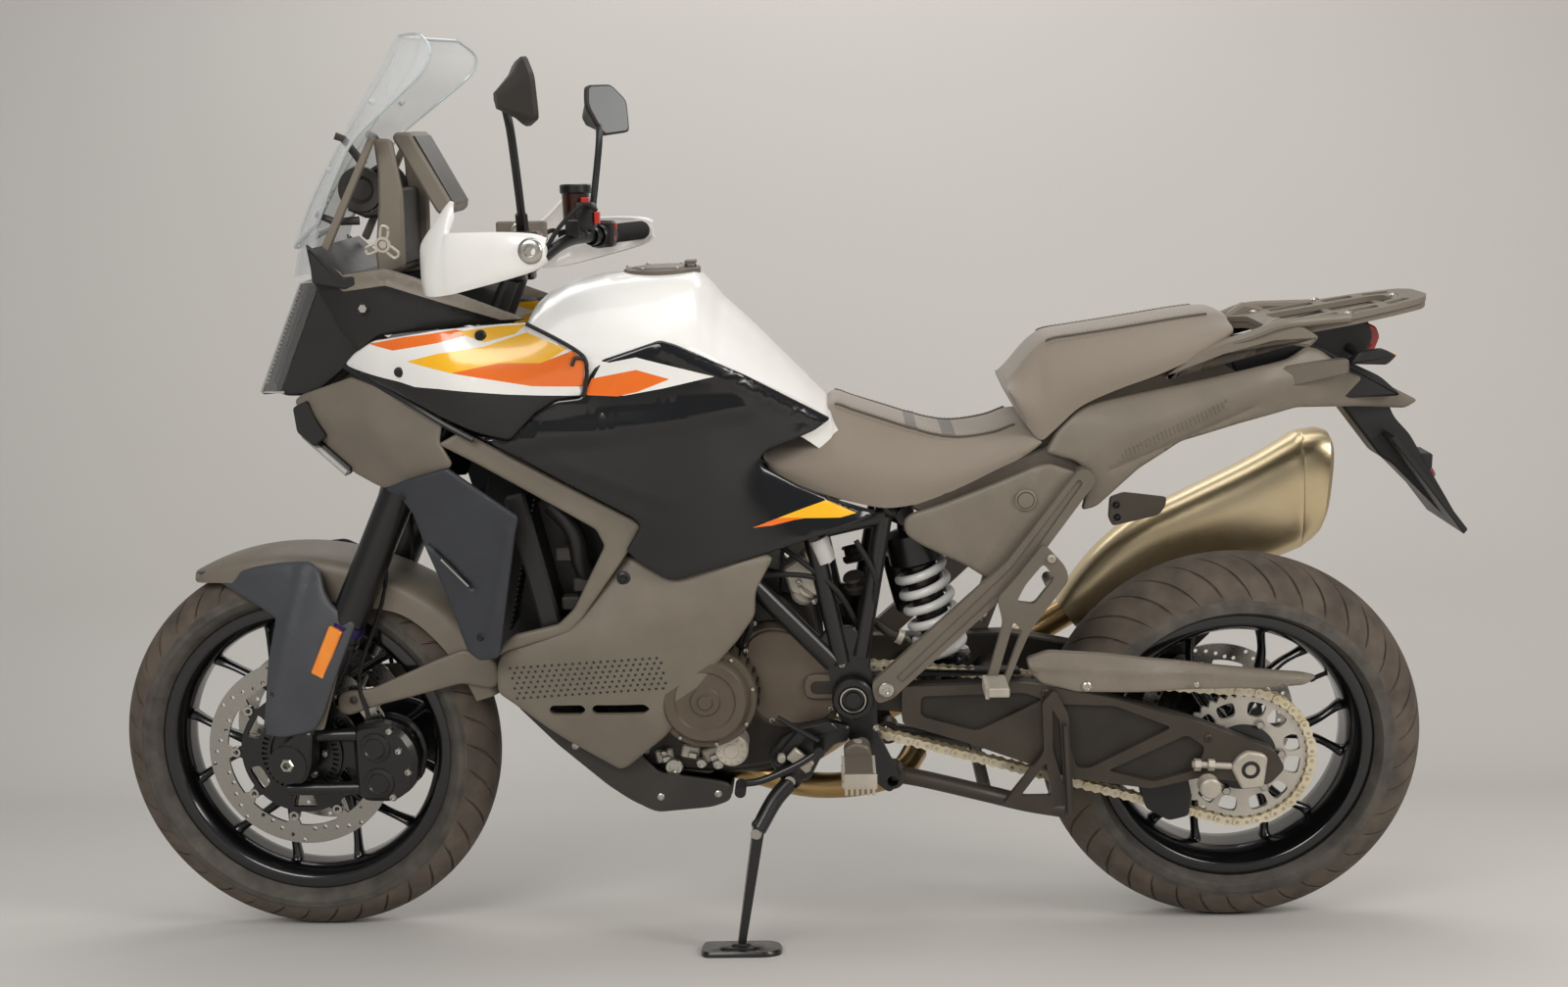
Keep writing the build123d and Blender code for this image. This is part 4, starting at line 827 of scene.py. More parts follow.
def tyreHalf(t, way):
    side, low = 0.95 * t["half"], t["radius"] - 0.72 * t["half"]
    drop = t["radius"] - low
    rho = (side ** 2 + drop ** 2) / (2 * drop)
    most = math.asin(side / rho)
    phi = np.linspace(0, most, 17)
    shares = np.array(groove["shares"])
    cut = (np.minimum(shares, 1 - shares) < 0.05).astype(float)
    column = (np.arange(t["pitches"])[:, None] + shares[None]).ravel()
    reach = np.concatenate([np.full(len(shares), (p + (way > 0)) % 2) for p in range(t["pitches"])])
    s = rho * phi
    starts = np.where(reach > 0, 0.10, 0.42)[None] * s[-1]
    ends = np.where(reach > 0, 0.80, 0.97)[None] * s[-1]
    fade = np.clip((s[:, None] - starts) / 5, 0, 1) * np.clip((ends - s[:, None]) / 7, 0, 1)
    sunk = groove["depth"] * fade * (cut[None].repeat(t["pitches"], 0).ravel() > 0)[None]
    shear = t["slant"] * (1.25 * s - 0.0035 * s ** 2) / t["radius"]
    angle = (column / t["pitches"] * 2 * math.pi)[None] + (way > 0) * math.pi / t["pitches"] + shear[:, None]
    r = t["radius"] - rho + (rho - sunk) * np.cos(phi)[:, None]
    y = way * (rho - sunk) * np.sin(phi)[:, None] + 0 * r
    bead, bulge = (t["rimHalf"], t["rim"] + 0.3), (t["half"], t["radius"] - 0.95 * t["half"])
    wallRows = smoothPath([(side, low), (t["half"] - 0.6, (low + bulge[1]) / 2), bulge,
                           ((bulge[0] + bead[0]) / 2 + 3, (bulge[1] + bead[1]) / 2), bead], 4)[1:]
    rib = np.where(np.arange(len(wallRows)) % 5 == 2, 0.8, 0.0)
    inside = np.array([(bead[0] - groove["wall"], bead[1]), (side - 12, low - 10),
                       (side * 0.5, t["radius"] - 22), (0.0, t["radius"] - 17)])
    rows = np.vstack([wallRows + np.stack([rib, 0 * rib], -1), inside])
    angle = np.vstack([angle, angle[-1:].repeat(len(rows), 0)])
    r = np.vstack([r, np.broadcast_to(rows[:, 1:], (len(rows), r.shape[1]))])
    y = np.vstack([y, np.broadcast_to(way * rows[:, :1], (len(rows), r.shape[1]))])
    cx, cz = t["centre"]
    points = np.stack([cx + r * np.cos(angle), y, cz + r * np.sin(angle)], -1)
    faces = gridFaces(*r.shape, wrapCols=True)
    numbers = np.repeat(np.arange(len(r) - 1) > 15, r.shape[1]).astype(int)
    return points.reshape(-1, 3), faces, numbers


for name, t in tyreShape.items():
    finishMesh(name, [tyreHalf(t, -1), tyreHalf(t, 1)], ["tyreTread", "tyreRubber"], t["body"], sharpDeg=40,
               replaces=(t["node"],))
print("tyres done")

wheelShape = {
    "frontWheel": {"rim": 250.0, "half": 43.0, "well": 217.0, "hub": 51.0, "spread": 15.0, "start": 3.0,
                   "body": "front_wheel", "node": "front_wheel", "centre": (0.0, axles["frontZ"])},
    "rearWheel": {"rim": 228.0, "half": 64.0, "well": 195.0, "hub": 74.0, "spread": 12.0, "start": 3.0,
                  "body": "rear_wheel", "node": "rear_wheel", "centre": (axles["rearX"], axles["rearZ"])},
}


def wheelPiece(w):
    rim, half, well = w["rim"], w["half"], w["well"]
    cx, cz = w["centre"]
    section = [(half, rim), (half - 6, rim), (half - 9, rim - 13), (half * 0.5, well + 7),
               (-half * 0.5, well + 7), (-half + 9, rim - 13), (-half + 6, rim), (-half, rim),
               (-half, rim - 19), (-half * 0.6, well + 1), (-half * 0.3, well - 2), (half * 0.3, well - 2),
               (half * 0.6, well + 1), (half, rim - 19)]
    loop = softLoop(section, 4, 3)
    parts = [spun(np.vstack([loop, loop[:1]]), (cx, 0, cz), 144)]
    h = w["hub"]
    hubLoop = [(-h, 13), (-h, 40), (-h + 3, 43), (-h + 9, 43), (-h + 14, 32), (-14, 29), (14, 29),
               (h - 14, 32), (h - 9, 43), (h - 3, 43), (h, 40), (h, 13), (-h, 13)]
    parts.append(spun(hubLoop, (cx, 0, cz), 48))
    for pair in range(6):
        middle = math.radians(w["start"] + 60 * pair)
        for way in (-1, 1):
            turn = math.radians(w["spread"]) * np.array([0.0, 0.07, 0.2, 0.55, 0.82, 1.0, 1.02])
            reach = np.array([24.0, 70.0, 112.0, 150.0, (150 + well) / 2, well - 6, well + 4])
            a = middle + way * turn
            path = np.stack([cx + reach * np.cos(a), 0 * a, cz + reach * np.sin(a)], -1)
            thick = np.array([15.0, 12.5, 10.0, 7.5, 7.0, 9.0, 14.0])
            fine = smoothPath(np.column_stack([path, thick]), 4)
            parts.append(tube(fine[:, :3], fine[:, 3], 12, flat=1.45, up=(0, 1, 0)))
    valve = math.radians(w["start"] + 30)
    root = np.array([cx + (well + 2) * math.cos(valve), 0, cz + (well + 2) * math.sin(valve)])
    inward = -np.array([math.cos(valve), -0.4, math.sin(valve)])
    add(parts, 1, spun([(0, 7), (4, 5), (6, 4), (26, 4), (27, 5), (34, 5), (35, 3)], root, 10, inward, True))
    return parts


for name, w in wheelShape.items():
    finishMesh(name, wheelPiece(w), ["wheelBlack", "rubber"], w["body"], replaces=(w["node"],), sharpDeg=40)


def discParts(cx, cz, y, way, outer, inner, hubSide):
    # a floating disc: drilled ring, lugs to nine bobbins, black carrier with windows and six bolts
    lug = lambda a: inner - 20 * np.clip(1 - np.abs((a * 9 / (2 * math.pi)) % 1 - 0.5) * 9, 0, 1) ** 0.5
    holes = []
    for k in range(5):
        reach = inner + 6 + (k * 5 % 4) * (outer - inner - 12) / 3
        holes += [ringLoop(3.6, 10, (x, z)) for x, z, _ in around(9, reach, (k + 0.5) * 2 * math.pi / 45)]
    ring = cutPlate(ringLoop(outer, 144), [ringLoop(lug, 270)] + holes, y - 2.4, y + 2.4)
    bobbins = around(9, inner - 15, math.pi / 9)
    lobe = lambda a: inner - 24 + 12 * np.clip(1 - np.abs((a * 9 / (2 * math.pi)) % 1 - 0.5) * 7, 0, 1) ** 0.5
    windows = slantedLoops(((-17, -9), (17, -9), (22, 11), (-22, 11)), around(6, inner - 44, math.pi / 6))
    carrier = cutPlate(ringLoop(lobe, 180), [ringLoop(16, 32)] + windows, y - 3.4, y + 3.4)
    parts = [(*ring, 0), (*carrier, 1)]
    for x, z, _ in bobbins:
        add(parts, 2,
            spun([(-6, 0.1), (-6, 8), (-4, 9), (4, 9), (6, 8), (6, 4.5), (3, 4), (3, 0.1)], (x, y, z), 14,
                 (0, way, 0)))
    for x, z, _ in around(6, 42.0 if inner > 110 else 38.0):
        add(parts, 2, screwHeads([(x, y + way * 3, z)], 6.5, 6, (0, way, 0)))
    if inner > 110:
        slots = slantedLoops(((-2, -5), (2, -5), (2.4, 5), (-2.4, 5)), around(44, 62.0), 1, 2)
        add(parts, 1, cutPlate(ringLoop(72, 90), [ringLoop(52, 60)] + slots, y + way * 6, y + way * 8))
    boss = spun([(0, 17), (0, 30), (abs(hubSide - y), 32), (abs(hubSide - y), 17), (0, 17)], (0, y, 0), 40,
                (0, -way, 0))
    add(parts, 1, boss)
    points, faces, numbers = joined(parts)
    return points + (cx, 0, cz), faces, numbers


discFinishes = ["discSteel", "frameBlack", "silverBolt"]
parts = [discParts(0, axles["frontZ"], way * 62.0, way, 160, 128, way * 51.0) for way in (-1, 1)]
finishMesh("frontDiscs", parts, discFinishes, "front_wheel", replaces=("front_discs",), sharpDeg=30)
parts = [discParts(axles["rearX"], axles["rearZ"], 88.0, 1, 133, 104, 74.0)]
finishMesh("rearDisc", parts, discFinishes, "rear_wheel", replaces=("rear_disc",), sharpDeg=30)

# Sprocket: 42 teeth, six pairs of windows; the chain's links follow the two pitch circles.
drive = {"front": (842.0, 450.0, 44.5), "rear": (axles["rearX"], axles["rearZ"], 112.1), "y": -104.0,
         "teeth": 42, "pitch": 15.875}
tooth = lambda a: 105.5 + 3.4 * np.cos(a * drive["teeth"])
turns = [math.radians(3 + 60 * k + way * 13) for k in range(6) for way in (-1, 1)]
places = [(83 * math.cos(a), 83 * math.sin(a), a) for a in turns]
windows = slantedLoops(((-13, -13), (13, -13), (16, 12), (-16, 12)), places, 9, 4)
plateRing = cutPlate(ringLoop(tooth, 336), [ringLoop(52, 72)] + windows, -108.0, -100.0)
carrier = spun([(-110, 20), (-110, 52), (-108, 56), (-100, 56), (-98, 50), (-74, 44), (-74, 20), (-110, 20)],
               (0, 0, 0), 60)
nuts = joined([spun([(0, 8), (6, 8), (8, 6), (8, 0.1)], (x, -109, z), 6, (0, -1, 0))
               for x, z, _ in around(6, 62, 0.1)])
points, faces, numbers = joined([(*plateRing, 0), (*carrier, 1), (*nuts[:2], 2)])
finishMesh("rearSprocket", [(points + (axles["rearX"], 0, axles["rearZ"]), faces, numbers)],
           ["sprocketSteel", "frameBlack", "silverBolt"], "rear_wheel", replaces=("sprocket",), sharpDeg=30)


def chainPlaces():
    # pin places: two arcs and two straight runs, shared out evenly in an even number of links
    a, b = np.array(drive["front"][:2]), np.array(drive["rear"][:2])
    ra, rb = drive["front"][2], drive["rear"][2]
    run = np.linalg.norm(b - a)
    way = (b - a) / run
    up = np.array([-way[1], way[0]])
    lean = math.asin((rb - ra) / run)
    turns = np.linspace(math.pi / 2 + lean, 3 * math.pi / 2 - lean, 40)
    frontArc = np.array([a + ra * (way * math.cos(t) + up * math.sin(t)) for t in turns])
    turns = np.linspace(-math.pi / 2 - lean, math.pi / 2 + lean, 90)
    rearArc = np.array([b + rb * (way * math.cos(t) + up * math.sin(t)) for t in turns])
    loop = np.vstack([frontArc, rearArc, frontArc[:1]])
    length = np.concatenate([[0], np.cumsum(np.linalg.norm(np.diff(loop, axis=0), axis=1))])
    count = 2 * round(length[-1] / drive["pitch"] / 2)
    at = np.linspace(0, length[-1], count, endpoint=False)
    return np.stack([np.interp(at, length, loop[:, k]) for k in (0, 1)], -1)


places = chainPlaces()
parts = []
for i, (p, q) in enumerate(zip(places, np.roll(places, -1, 0))):
    along = (q - p) / np.linalg.norm(q - p)
    over = np.array([-along[1], along[0]])
    half = np.linalg.norm(q - p) / 2
    capsule = [(u, v) for u, v in ((-half - 7, 0), (-half - 5, 5.4), (-half, 8), (0, 5.6), (half, 8),
                                   (half + 5, 5.4), (half + 7, 0), (half + 5, -5.4), (half, -8), (0, -5.6),
                                   (-half, -8), (-half - 5, -5.4))]
    loop = [(p + q) / 2 + along * u + over * v for u, v in capsule]
    out = 8.4 if i % 2 else 5.6
    for way in (-1, 1):
        add(parts, 0, cutPlate(loop, [], drive["y"] + way * out, drive["y"] + way * (out + 2)))
    add(parts, 1, spun([(-11.2, 0.1), (-11.2, 3), (11.2, 3), (11.2, 0.1)], (p[0], drive["y"], p[1]), 8))
    add(parts, 0, spun([(-5.2, 4.9), (5.2, 4.9)], (p[0], drive["y"], p[1]), 10))
finishMesh("driveChain", parts, ["chainSteel", "silverBolt"], replaces=("chain",), sharpDeg=30)
print("wheels, discs, sprocket and chain done")

# Seats: each row is (x, seam height, crown height, lowest height, half width at the seam, half width
# below). The side bulges between its two edges, and the top is crowned like a flat parabola.
riderRows = [
    (786, 840, 841, 832, 84, 120), (800, 853, 854, 812, 82, 128), (842, 878, 880, 790, 78, 133),
    (880, 896, 899, 777, 74, 134), (900, 909, 913, 770, 72, 134), (930, 899, 904, 762, 72, 134),
    (975, 884, 888, 753, 74, 134), (1020, 869, 873, 757, 76, 134), (1060, 858, 862, 770, 78, 136),
    (1100, 854, 858, 787, 80, 138), (1150, 861, 865, 812, 82, 139), (1185, 873, 877, 828, 83, 138),
    (1208, 872, 876, 842, 83, 136), (1222, 856, 862, 852, 84, 130),
]
pillionRows = [
    (1172, 939, 940, 930, 72, 104), (1186, 954, 955, 902, 68, 116), (1205, 977, 979, 873, 66, 122),
    (1222, 994, 997, 856, 65, 125), (1243, 1006, 1009, 872, 65, 126), (1283, 1012, 1016, 908, 65, 127),
    (1340, 1020, 1024, 934, 65, 127), (1400, 1029, 1033, 955, 64, 126), (1454, 1037, 1041, 978, 64, 122),
    (1500, 1041, 1044, 1003, 62, 114), (1520, 1034, 1037, 1016, 60, 104),
]


def seatForm(rows, bands=()):
    fine = smoothPath(rows, 6)
    fine = fine[np.argsort(fine[:, 0])]
    for edge in [e for band in bands for e in band]:
        fine[np.argmin(np.abs(fine[:, 0] - edge)), 0] = edge
    x, seam, crown, low, wTop, wLow = fine.T
    u = np.linspace(0, 1, 8)[:-1]
    rise = 0.5 - 0.5 * np.cos(u * math.pi)
    side = np.stack([(wLow[:, None] + (wTop - wLow)[:, None] * rise ** 2.2) + 5 * np.sin(u * math.pi),
                     low[:, None] + (seam - low)[:, None] * u], -1)
    v = np.linspace(1, -1, 23)
    domed = (crown - seam)[:, None] * (1 - np.abs(v) ** 2.4)
    top = np.stack([wTop[:, None] * v, seam[:, None] + domed + 2.5 * (1 - v ** 8)], -1)
    under = np.stack([wLow[:, None] * [-0.9, 0, 0.9], low[:, None] + [-2, -4, -2]], -1)
    ring = np.concatenate([side, top, side[:, ::-1] * (-1, 1), under], 1)
    points = np.concatenate([np.broadcast_to(x[:, None, None], ring.shape[:2] + (1,)), ring], -1)
    n = ring.shape[1]
    faces = gridFaces(len(x), n, wrapCols=True)
    rowOf, colOf = np.divmod(np.arange(len(faces)), n)
    middle = (x[rowOf] + x[np.minimum(rowOf + 1, len(x) - 1)]) / 2
    banded = np.zeros(len(faces), int)
    for a, b in bands:
        banded[(middle > a) & (middle < b) & (colOf >= 8) & (colOf < 28)] = 1
    seamLine = np.stack([x, -wTop, seam + 1.5], -1)
    return (points, faces.tolist() + ringCaps(len(x), n), banded.tolist() + [0, 0]), seamLine


def stitches(line, pitch=7.0, length=4.6, radius=0.55):
    # short threads laid end to end along a line
    gaps = np.linalg.norm(np.diff(line, axis=0), axis=1)
    run = np.concatenate([[0], np.cumsum(gaps)])
    parts = []
    for start in np.arange(2, run[-1] - length, pitch):
        stops = (start, start + length / 2, start + length)
        places = [[np.interp(s, run, line[:, k]) for k in range(3)] for s in stops]
        parts.append(tube(places, np.array([0.6, 1.0, 0.6]) * radius, 6))
    return joined(parts)[:2]


for name, rows, node, bands, cut in (
        ("riderSeat", riderRows, "rider_seat", ((1012, 1030), (1070, 1092)), (24, -12)),
        ("pillionSeat", pillionRows, "pillion_seat", (), (22, -8))):
    form, seamLine = seatForm(rows, bands)
    seat = finishMesh(name, [form], ["seatCloth", "seatBand"], replaces=(node,), sharpDeg=60)
    seamLine = seamLine[cut[0]:cut[1]]
    trim = []
    add(trim, 0, tube(seamLine, 2.0, 8))
    add(trim, 1, stitches(seamLine + (0, -3.4, -5.5)), stitches(seamLine + (0, 6, 3.6)))
    finishMesh(name + "Seams", twoSides(trim), ["seatBand", "thread"])
print("seats done")

coverDepth = [(1008, 130, 708), (1008, 128, 729), (1067, 134, 754), (1200, 140, 808), (1296, 141, 796),
              (1217, 141, 696), (1142, 138, 633), (1100, 142, 690), (1180, 147, 740), (1040, 136, 715)]
bodyPanel(
    "sideCovers",
    [(1008, 708), (1006, 730), (1018, 741), (1067, 756), (1180, 800), (1215, 815), (1236, 818), (1296, 797),
     (1290, 784), (1217, 696), (1170, 640), (1142, 631), (1100, 658), (1033, 690)],
    coverDepth, "bronzeAbs", plane=130.0, creases=[(1225, 812, 1120, 640, 2, 10)], corner=10, edge=6, wall=5,
    replaces=("side_covers",))
plugs = spun([(-2, 17), (1, 17), (2, 15.5), (2, 13.5), (0, 13), (0, 12.5), (3, 12), (3.5, 10), (3.5, 0.1)],
             (1196, -149, 765), 28, (0, -1, 0))
finishMesh("sideCoverPlugs", twoSides([plugs]), "bronzeAbs")

ridge = [(1240, 138, 800), (1400, 148, 880), (1560, 135, 938), (1700, 92, 950)]
tailDepth = [(ridge[0], ridge[1], (1292, 122, 912)), (ridge[1], ridge[2], (1500, 118, 952)),
             (ridge[2], ridge[3], (1630, 92, 996)), (ridge[0], ridge[1], (1300, 128, 745)),
             (ridge[1], ridge[2], (1533, 122, 880)), (ridge[2], ridge[3], (1620, 104, 901))]
bodyPanel(
    "tailCover",
    [(1228, 836), (1246, 870), (1272, 898), (1292, 911), (1400, 932), (1500, 952), (1560, 966), (1600, 976),
     (1630, 996), (1650, 990), (1700, 953), (1756, 934), (1804, 909), (1785, 897), (1708, 901), (1617, 901),
     (1533, 878), (1440, 850), (1375, 808), (1310, 748), (1286, 742), (1300, 800), (1276, 822)],
    tailDepth, "bronzeAbs", plane=130.0, creases=[(1330, 806, 1560, 906, -3, 8)],
    corner=8, edge=6, wall=5, replaces=("tail_cover",))
middle = plate([(1520, 985), (1640, 1001), (1700, 968), (1760, 940), (1796, 908), (1700, 905), (1600, 925),
                (1530, 950)], -78, 78, 10, 4)
finishMesh("tailMiddle", [middle], "blackAbs")
pips = dimples([(1345, 822), (1505, 900), (1352, 842)], 4, 26, tailDepth, 1.8, 130.0)
finishMesh("tailPips", pips, "bronzeAbs")

# Rack: a slotted plate seen from above, its height rising with x, on two handles.
rackHeight = lambda x: 1021 + 0.165 * (x - 1600)


def fromAbove(outline, holes, height, thick):
    points, faces = cutPlate(outline, holes, 0, 1)
    layer = points[:, 1].copy()
    points = np.stack([points[:, 0], points[:, 2], height(points[:, 0]) + (layer - 0.5) * thick], -1)
    return points, faces


rackOutline = [(1552, -96), (1600, -108), (1700, -106), (1770, -92), (1822, -72), (1838, -40), (1838, 40),
               (1822, 72), (1770, 92), (1700, 106), (1600, 108), (1552, 96), (1580, 60), (1580, -60)]
rackHoles = [[(1606, -46), (1770, -40), (1790, -26), (1790, 26), (1770, 40), (1606, 46)]]
for way in (-1, 1):
    rackHoles += [[(1620, way * 62), (1690, way * 60), (1690, way * 92), (1620, way * 94)],
                  [(1706, way * 59), (1752, way * 57), (1752, way * 84), (1706, way * 90)],
                  [(1766, way * 56), (1800, way * 40), (1808, way * 56), (1770, way * 78)]]
rackHoles = [softLoop(hole, 6, 3) for hole in rackHoles]
rackParts = [fromAbove(softLoop(rackOutline, 12, 4), rackHoles, rackHeight, 9.0),
             fromAbove(softLoop(np.array(rackOutline) * (1, 0.94), 12, 4), rackHoles,
                       lambda x: rackHeight(x) - 10, 8.0)]
handle = plate([(1412, 948), (1457, 989), (1505, 1008), (1548, 1015), (1583, 1040), (1611, 1034),
                (1650, 1009), (1635, 993), (1584, 1002), (1549, 993), (1505, 982), (1458, 960)], -124, -100,
               6, 5)
grip = tube(smoothPath([(1478, -108, 992), (1540, -121, 1012), (1590, -124, 1030), (1650, -112, 1034),
                        (1700, -100, 1036)], 6), 8, 10)
for part in (handle, grip):
    rackParts += twoSides([part])
for x in (1622, 1700, 1780):
    rackParts.append(boxAt((x, 0, rackHeight(x) - 8), (14, 100, 10)))
finishMesh("luggageRack", rackParts, "bronzeAbs", replaces=("luggage_rack",))
bolts = [screwHeads([(x, y, rackHeight(x) + 4.5)], 7, 4, (-0.16, 0, 1))
         for x, y in ((1598, -88), (1598, 88), (1700, -98), (1700, 98), (1798, 0))]
finishMesh("rackBolts", bolts, "silverBolt")

lampHouse = plate([(1642, 990), (1650, 1020), (1700, 1032), (1744, 1026), (1752, 1000), (1742, 968),
                   (1690, 955)], -58, 58, 8, 5)
lens = plate([(1746, 1021), (1760, 1014), (1766, 998), (1758, 976), (1745, 972)], -46, 46, 5, 3)
parts = [(*lampHouse, 0), (*lens, 1)]
for way in (-1, 1):
    stalk = tube([(1712, way * 50, 985), (1722, way * 80, 978), (1726, way * 96, 975)], [8, 7, 6], 10)
    body = plate([(1700, 966), (1712, 984), (1752, 988), (1770, 978), (1756, 964)], way * 96, way * 122, 5, 3)
    glass = plate([(1752, 986), (1772, 979), (1757, 966)], way * 99, way * 119, 3, 2)
    add(parts, 0, stalk, body)
    add(parts, 2, glass)
finishMesh("tailLamp", parts, ["blackAbs", "redLens", "amberLens"], replaces=("tail_light",))

holder = plate([(1702, 905), (1716, 884), (1780, 802), (1800, 790), (1900, 690), (1910, 700), (1826, 838),
                (1800, 866), (1786, 894), (1740, 918)], -34, 34, 8, 4)
board = plate([(1778, 842), (1786, 846), (1908, 692), (1902, 684)], -88, 88, 2, 1.5)
parts = [(*holder, 0), (*board, 0)]
add(parts, 1, spun([(0, 22), (6, 22), (8, 19), (8, 0.1)], (1862, 0, 776), 24, (0.79, 0, 0.61)))
add(parts, 0, boxAt((1856, 0, 792), (20, 60, 26)))
finishMesh("plateHolder", parts, ["blackAbs", "redLens"], replaces=("plate_holder",))

# Silencer: rows of (top x, top z, bottom x, bottom z, half width), rounded like a superellipse.
canRows = np.array([(1292, 503, 1330, 452, 30), (1316, 545, 1376, 466, 40), (1362, 602, 1440, 490, 46),
                    (1426, 655, 1500, 515, 50), (1500, 692, 1560, 540, 53), (1613, 748, 1640, 566, 56),
                    (1679, 786, 1690, 584, 57), (1700, 800, 1708, 592, 58), (1712, 803, 1718, 596, 57)],
                   float)
capRows = np.array([(1708, 800, 1715, 596, 59.5), (1712, 804, 1719, 598, 60), (1742, 808, 1734, 610, 60),
                    (1757, 804, 1745, 622, 58), (1764, 792, 1753, 640, 52), (1764, 770, 1756, 660, 40),
                    (1752, 762, 1746, 668, 36), (1700, 742, 1694, 650, 34)], float)


def ovalLoft(rows, power=2.7, sides=56):
    a = np.linspace(0, 2 * math.pi, sides, endpoint=False)
    ca = np.sign(np.cos(a)) * np.abs(np.cos(a)) ** (2 / power)
    sa = np.sign(np.sin(a)) * np.abs(np.sin(a)) ** (2 / power)
    top, low = rows[:, :2], rows[:, 2:4]
    centre, up = (top + low) / 2, (top - low) / 2
    xz = centre[:, None] + up[:, None] * sa[None, :, None]
    y = 205 + rows[:, 4][:, None] * ca[None]
    points = np.stack([xz[..., 0], y, xz[..., 1]], -1)
    return points, gridFaces(len(rows), sides, wrapCols=True).tolist() + ringCaps(len(rows), sides)


parts = [(*ovalLoft(smoothPath(canRows, 4)), 0), (*ovalLoft(capRows), 1)]
add(parts, 2, ovalLoft(np.array([(1744, 760, 1738, 670, 33), (1742, 759, 1736, 671, 32)]), sides=40))
hanger = plate([(1374, 704), (1398, 712), (1473, 702), (1470, 684), (1459, 670), (1380, 652), (1372, 668)],
               140, 148, 6, 2)
add(parts, 3, hanger)
add(parts, 2, screwHeads([(1386, 139, 690), (1388, 139, 668)], 6, 4))
finishMesh("silencerCan", parts, ["canSteel", "canSteel", "frameBlack", "bronzeMetal"],
           replaces=("silencer",), sharpDeg=30)
route = [(600, 40, 300), (700, 60, 286), (840, 60, 275), (928, 188, 285), (1010, 203, 320), (1180, 205, 400),
         (1318, 205, 486)]
collector = smoothPath([(700, -40, 300), (780, -64, 282), (850, -74, 268), (930, -66, 266), (1000, -30, 272),
                        (1030, 30, 285)], 6)
pipes = [tube(smoothPath(roundedPath(route, 40, 4), 3), 25, 20), tube(collector, 21, 20)]
finishMesh("exhaustPipe", pipes, "pipeSteel", replaces=("exhaust_pipe",))
print("tail, rack, silencer done")


def thicken(grid, thick):
    # a grid of points (rows, cols, 3) becomes a closed shell, thick inwards along its own normals
    down, across = np.gradient(grid, axis=0), np.gradient(grid, axis=1)
    normal = np.cross(down, across)
    normal /= np.maximum(np.linalg.norm(normal, axis=-1, keepdims=True), 1e-9)
    rows, cols = grid.shape[:2]
    points = np.concatenate([grid.reshape(-1, 3), (grid + normal * thick).reshape(-1, 3)])
    n = rows * cols
    outer = gridFaces(rows, cols)
    i = np.arange(n).reshape(rows, cols)
    rim = np.concatenate([i[0, :], i[1:, -1], i[-1, -2::-1], i[-2:0:-1, 0]])
    after = np.roll(rim, -1)
    walls = np.stack([rim, after, after + n, rim + n], -1)
    return points, np.vstack([outer, outer[:, ::-1] + n, walls]).tolist()


def ribbonGrid(middleLine, edgeLine, cols=25, bend=1.7):
    # between a centre line (x, z) and an edge line (x, |y|, z): x and z move by |v|^bend, y by v
    v = np.linspace(-1, 1, cols)[None]
    m, e = smoothPath(middleLine, 5), smoothPath(edgeLine, 5)
    share = np.abs(v) ** bend
    return np.stack([m[:, :1] + (e[:, :1] - m[:, :1]) * share, e[:, 1:2] * v,
                     m[:, 1:2] + (e[:, 2:3] - m[:, 1:2]) * share], -1)


screenMiddle = [(36, 1168), (52, 1205), (75, 1250), (105, 1300), (142, 1362), (182, 1425), (205, 1460),
                (216, 1480), (228, 1494)]
screenEdge = [(104, 104, 1212), (118, 116, 1240), (140, 130, 1280), (178, 146, 1338), (235, 160, 1385),
              (290, 176, 1429), (308, 180, 1452), (308, 174, 1472), (288, 146, 1492)]
grid = ribbonGrid(screenMiddle, screenEdge)
lower = ribbonGrid([(34, 1122), (38, 1140), (44, 1160), (52, 1186)],
                   [(84, 88, 1128), (90, 92, 1150), (98, 98, 1180), (106, 104, 1214)], 17)
panes = [thicken(grid, 4), thicken(lower, 4)]
finishMesh("windScreen", panes, "clearScreen", replaces=("windscreen",), sharpDeg=60)
border = np.concatenate([grid[0], grid[1:, -1], grid[-1, -2::-1], grid[-2:0:-1, 0]])
rimTube = tube(np.vstack([border, border[:1]]), 2.4, 8, cap=False)
midRib = [tube(grid[2:-2, 12 + k], 1.2, 6) for k in (-5, 5)]
slots = [tube([grid[4 + k, 12 + s], grid[4 + k, 14 + s]], 1.2, 6) for k in range(7) for s in (-5, 3)]
finishMesh("screenBorder", [rimTube] + midRib + slots, "screenEdge")
fixings = [spun([(-4, 5), (3, 5), (4, 3.5), (4, 0.1)], grid[i, j], 16, (-0.86, 0, 0.5))
           for i in (13, 22) for j in (5, 19)]
finishMesh("screenFixings", fixings, "screenEdge")

lampTilt = np.array([[math.cos(0.43), 0, math.sin(0.43)], [0, 1, 0], [-math.sin(0.43), 0, math.cos(0.43)]])
house = plate([(4, 946), (72, 1112), (104, 1122), (148, 1118), (148, 1000), (70, 938), (22, 938)], -74, 74, 8,
              5)
parts = [(*house, 0)]
for way in (-1, 1):
    lens = plate([(-19, 946), (-14, 941), (18, 944), (96, 1122), (88, 1126), (60, 1119)], way * 32, way * 76,
                 5, 4)
    add(parts, 1, lens)
    for k in range(24):
        along = 0.06 + 0.88 * k / 23
        add(parts, 2, boxAt((-10 + 72 * along, way * 76, 952 + 164 * along), (4, 3, 3.4), lampTilt))
    add(parts, 2, tube([(6, way * 54, 955), (72, way * 54, 1112)], 9, 12))
centre = plate([(0, 960), (56, 1098), (66, 1098), (12, 952)], -24, 24, 4, 3)
add(parts, 0, centre, boxAt((60, 0, 1000), (60, 120, 60)))
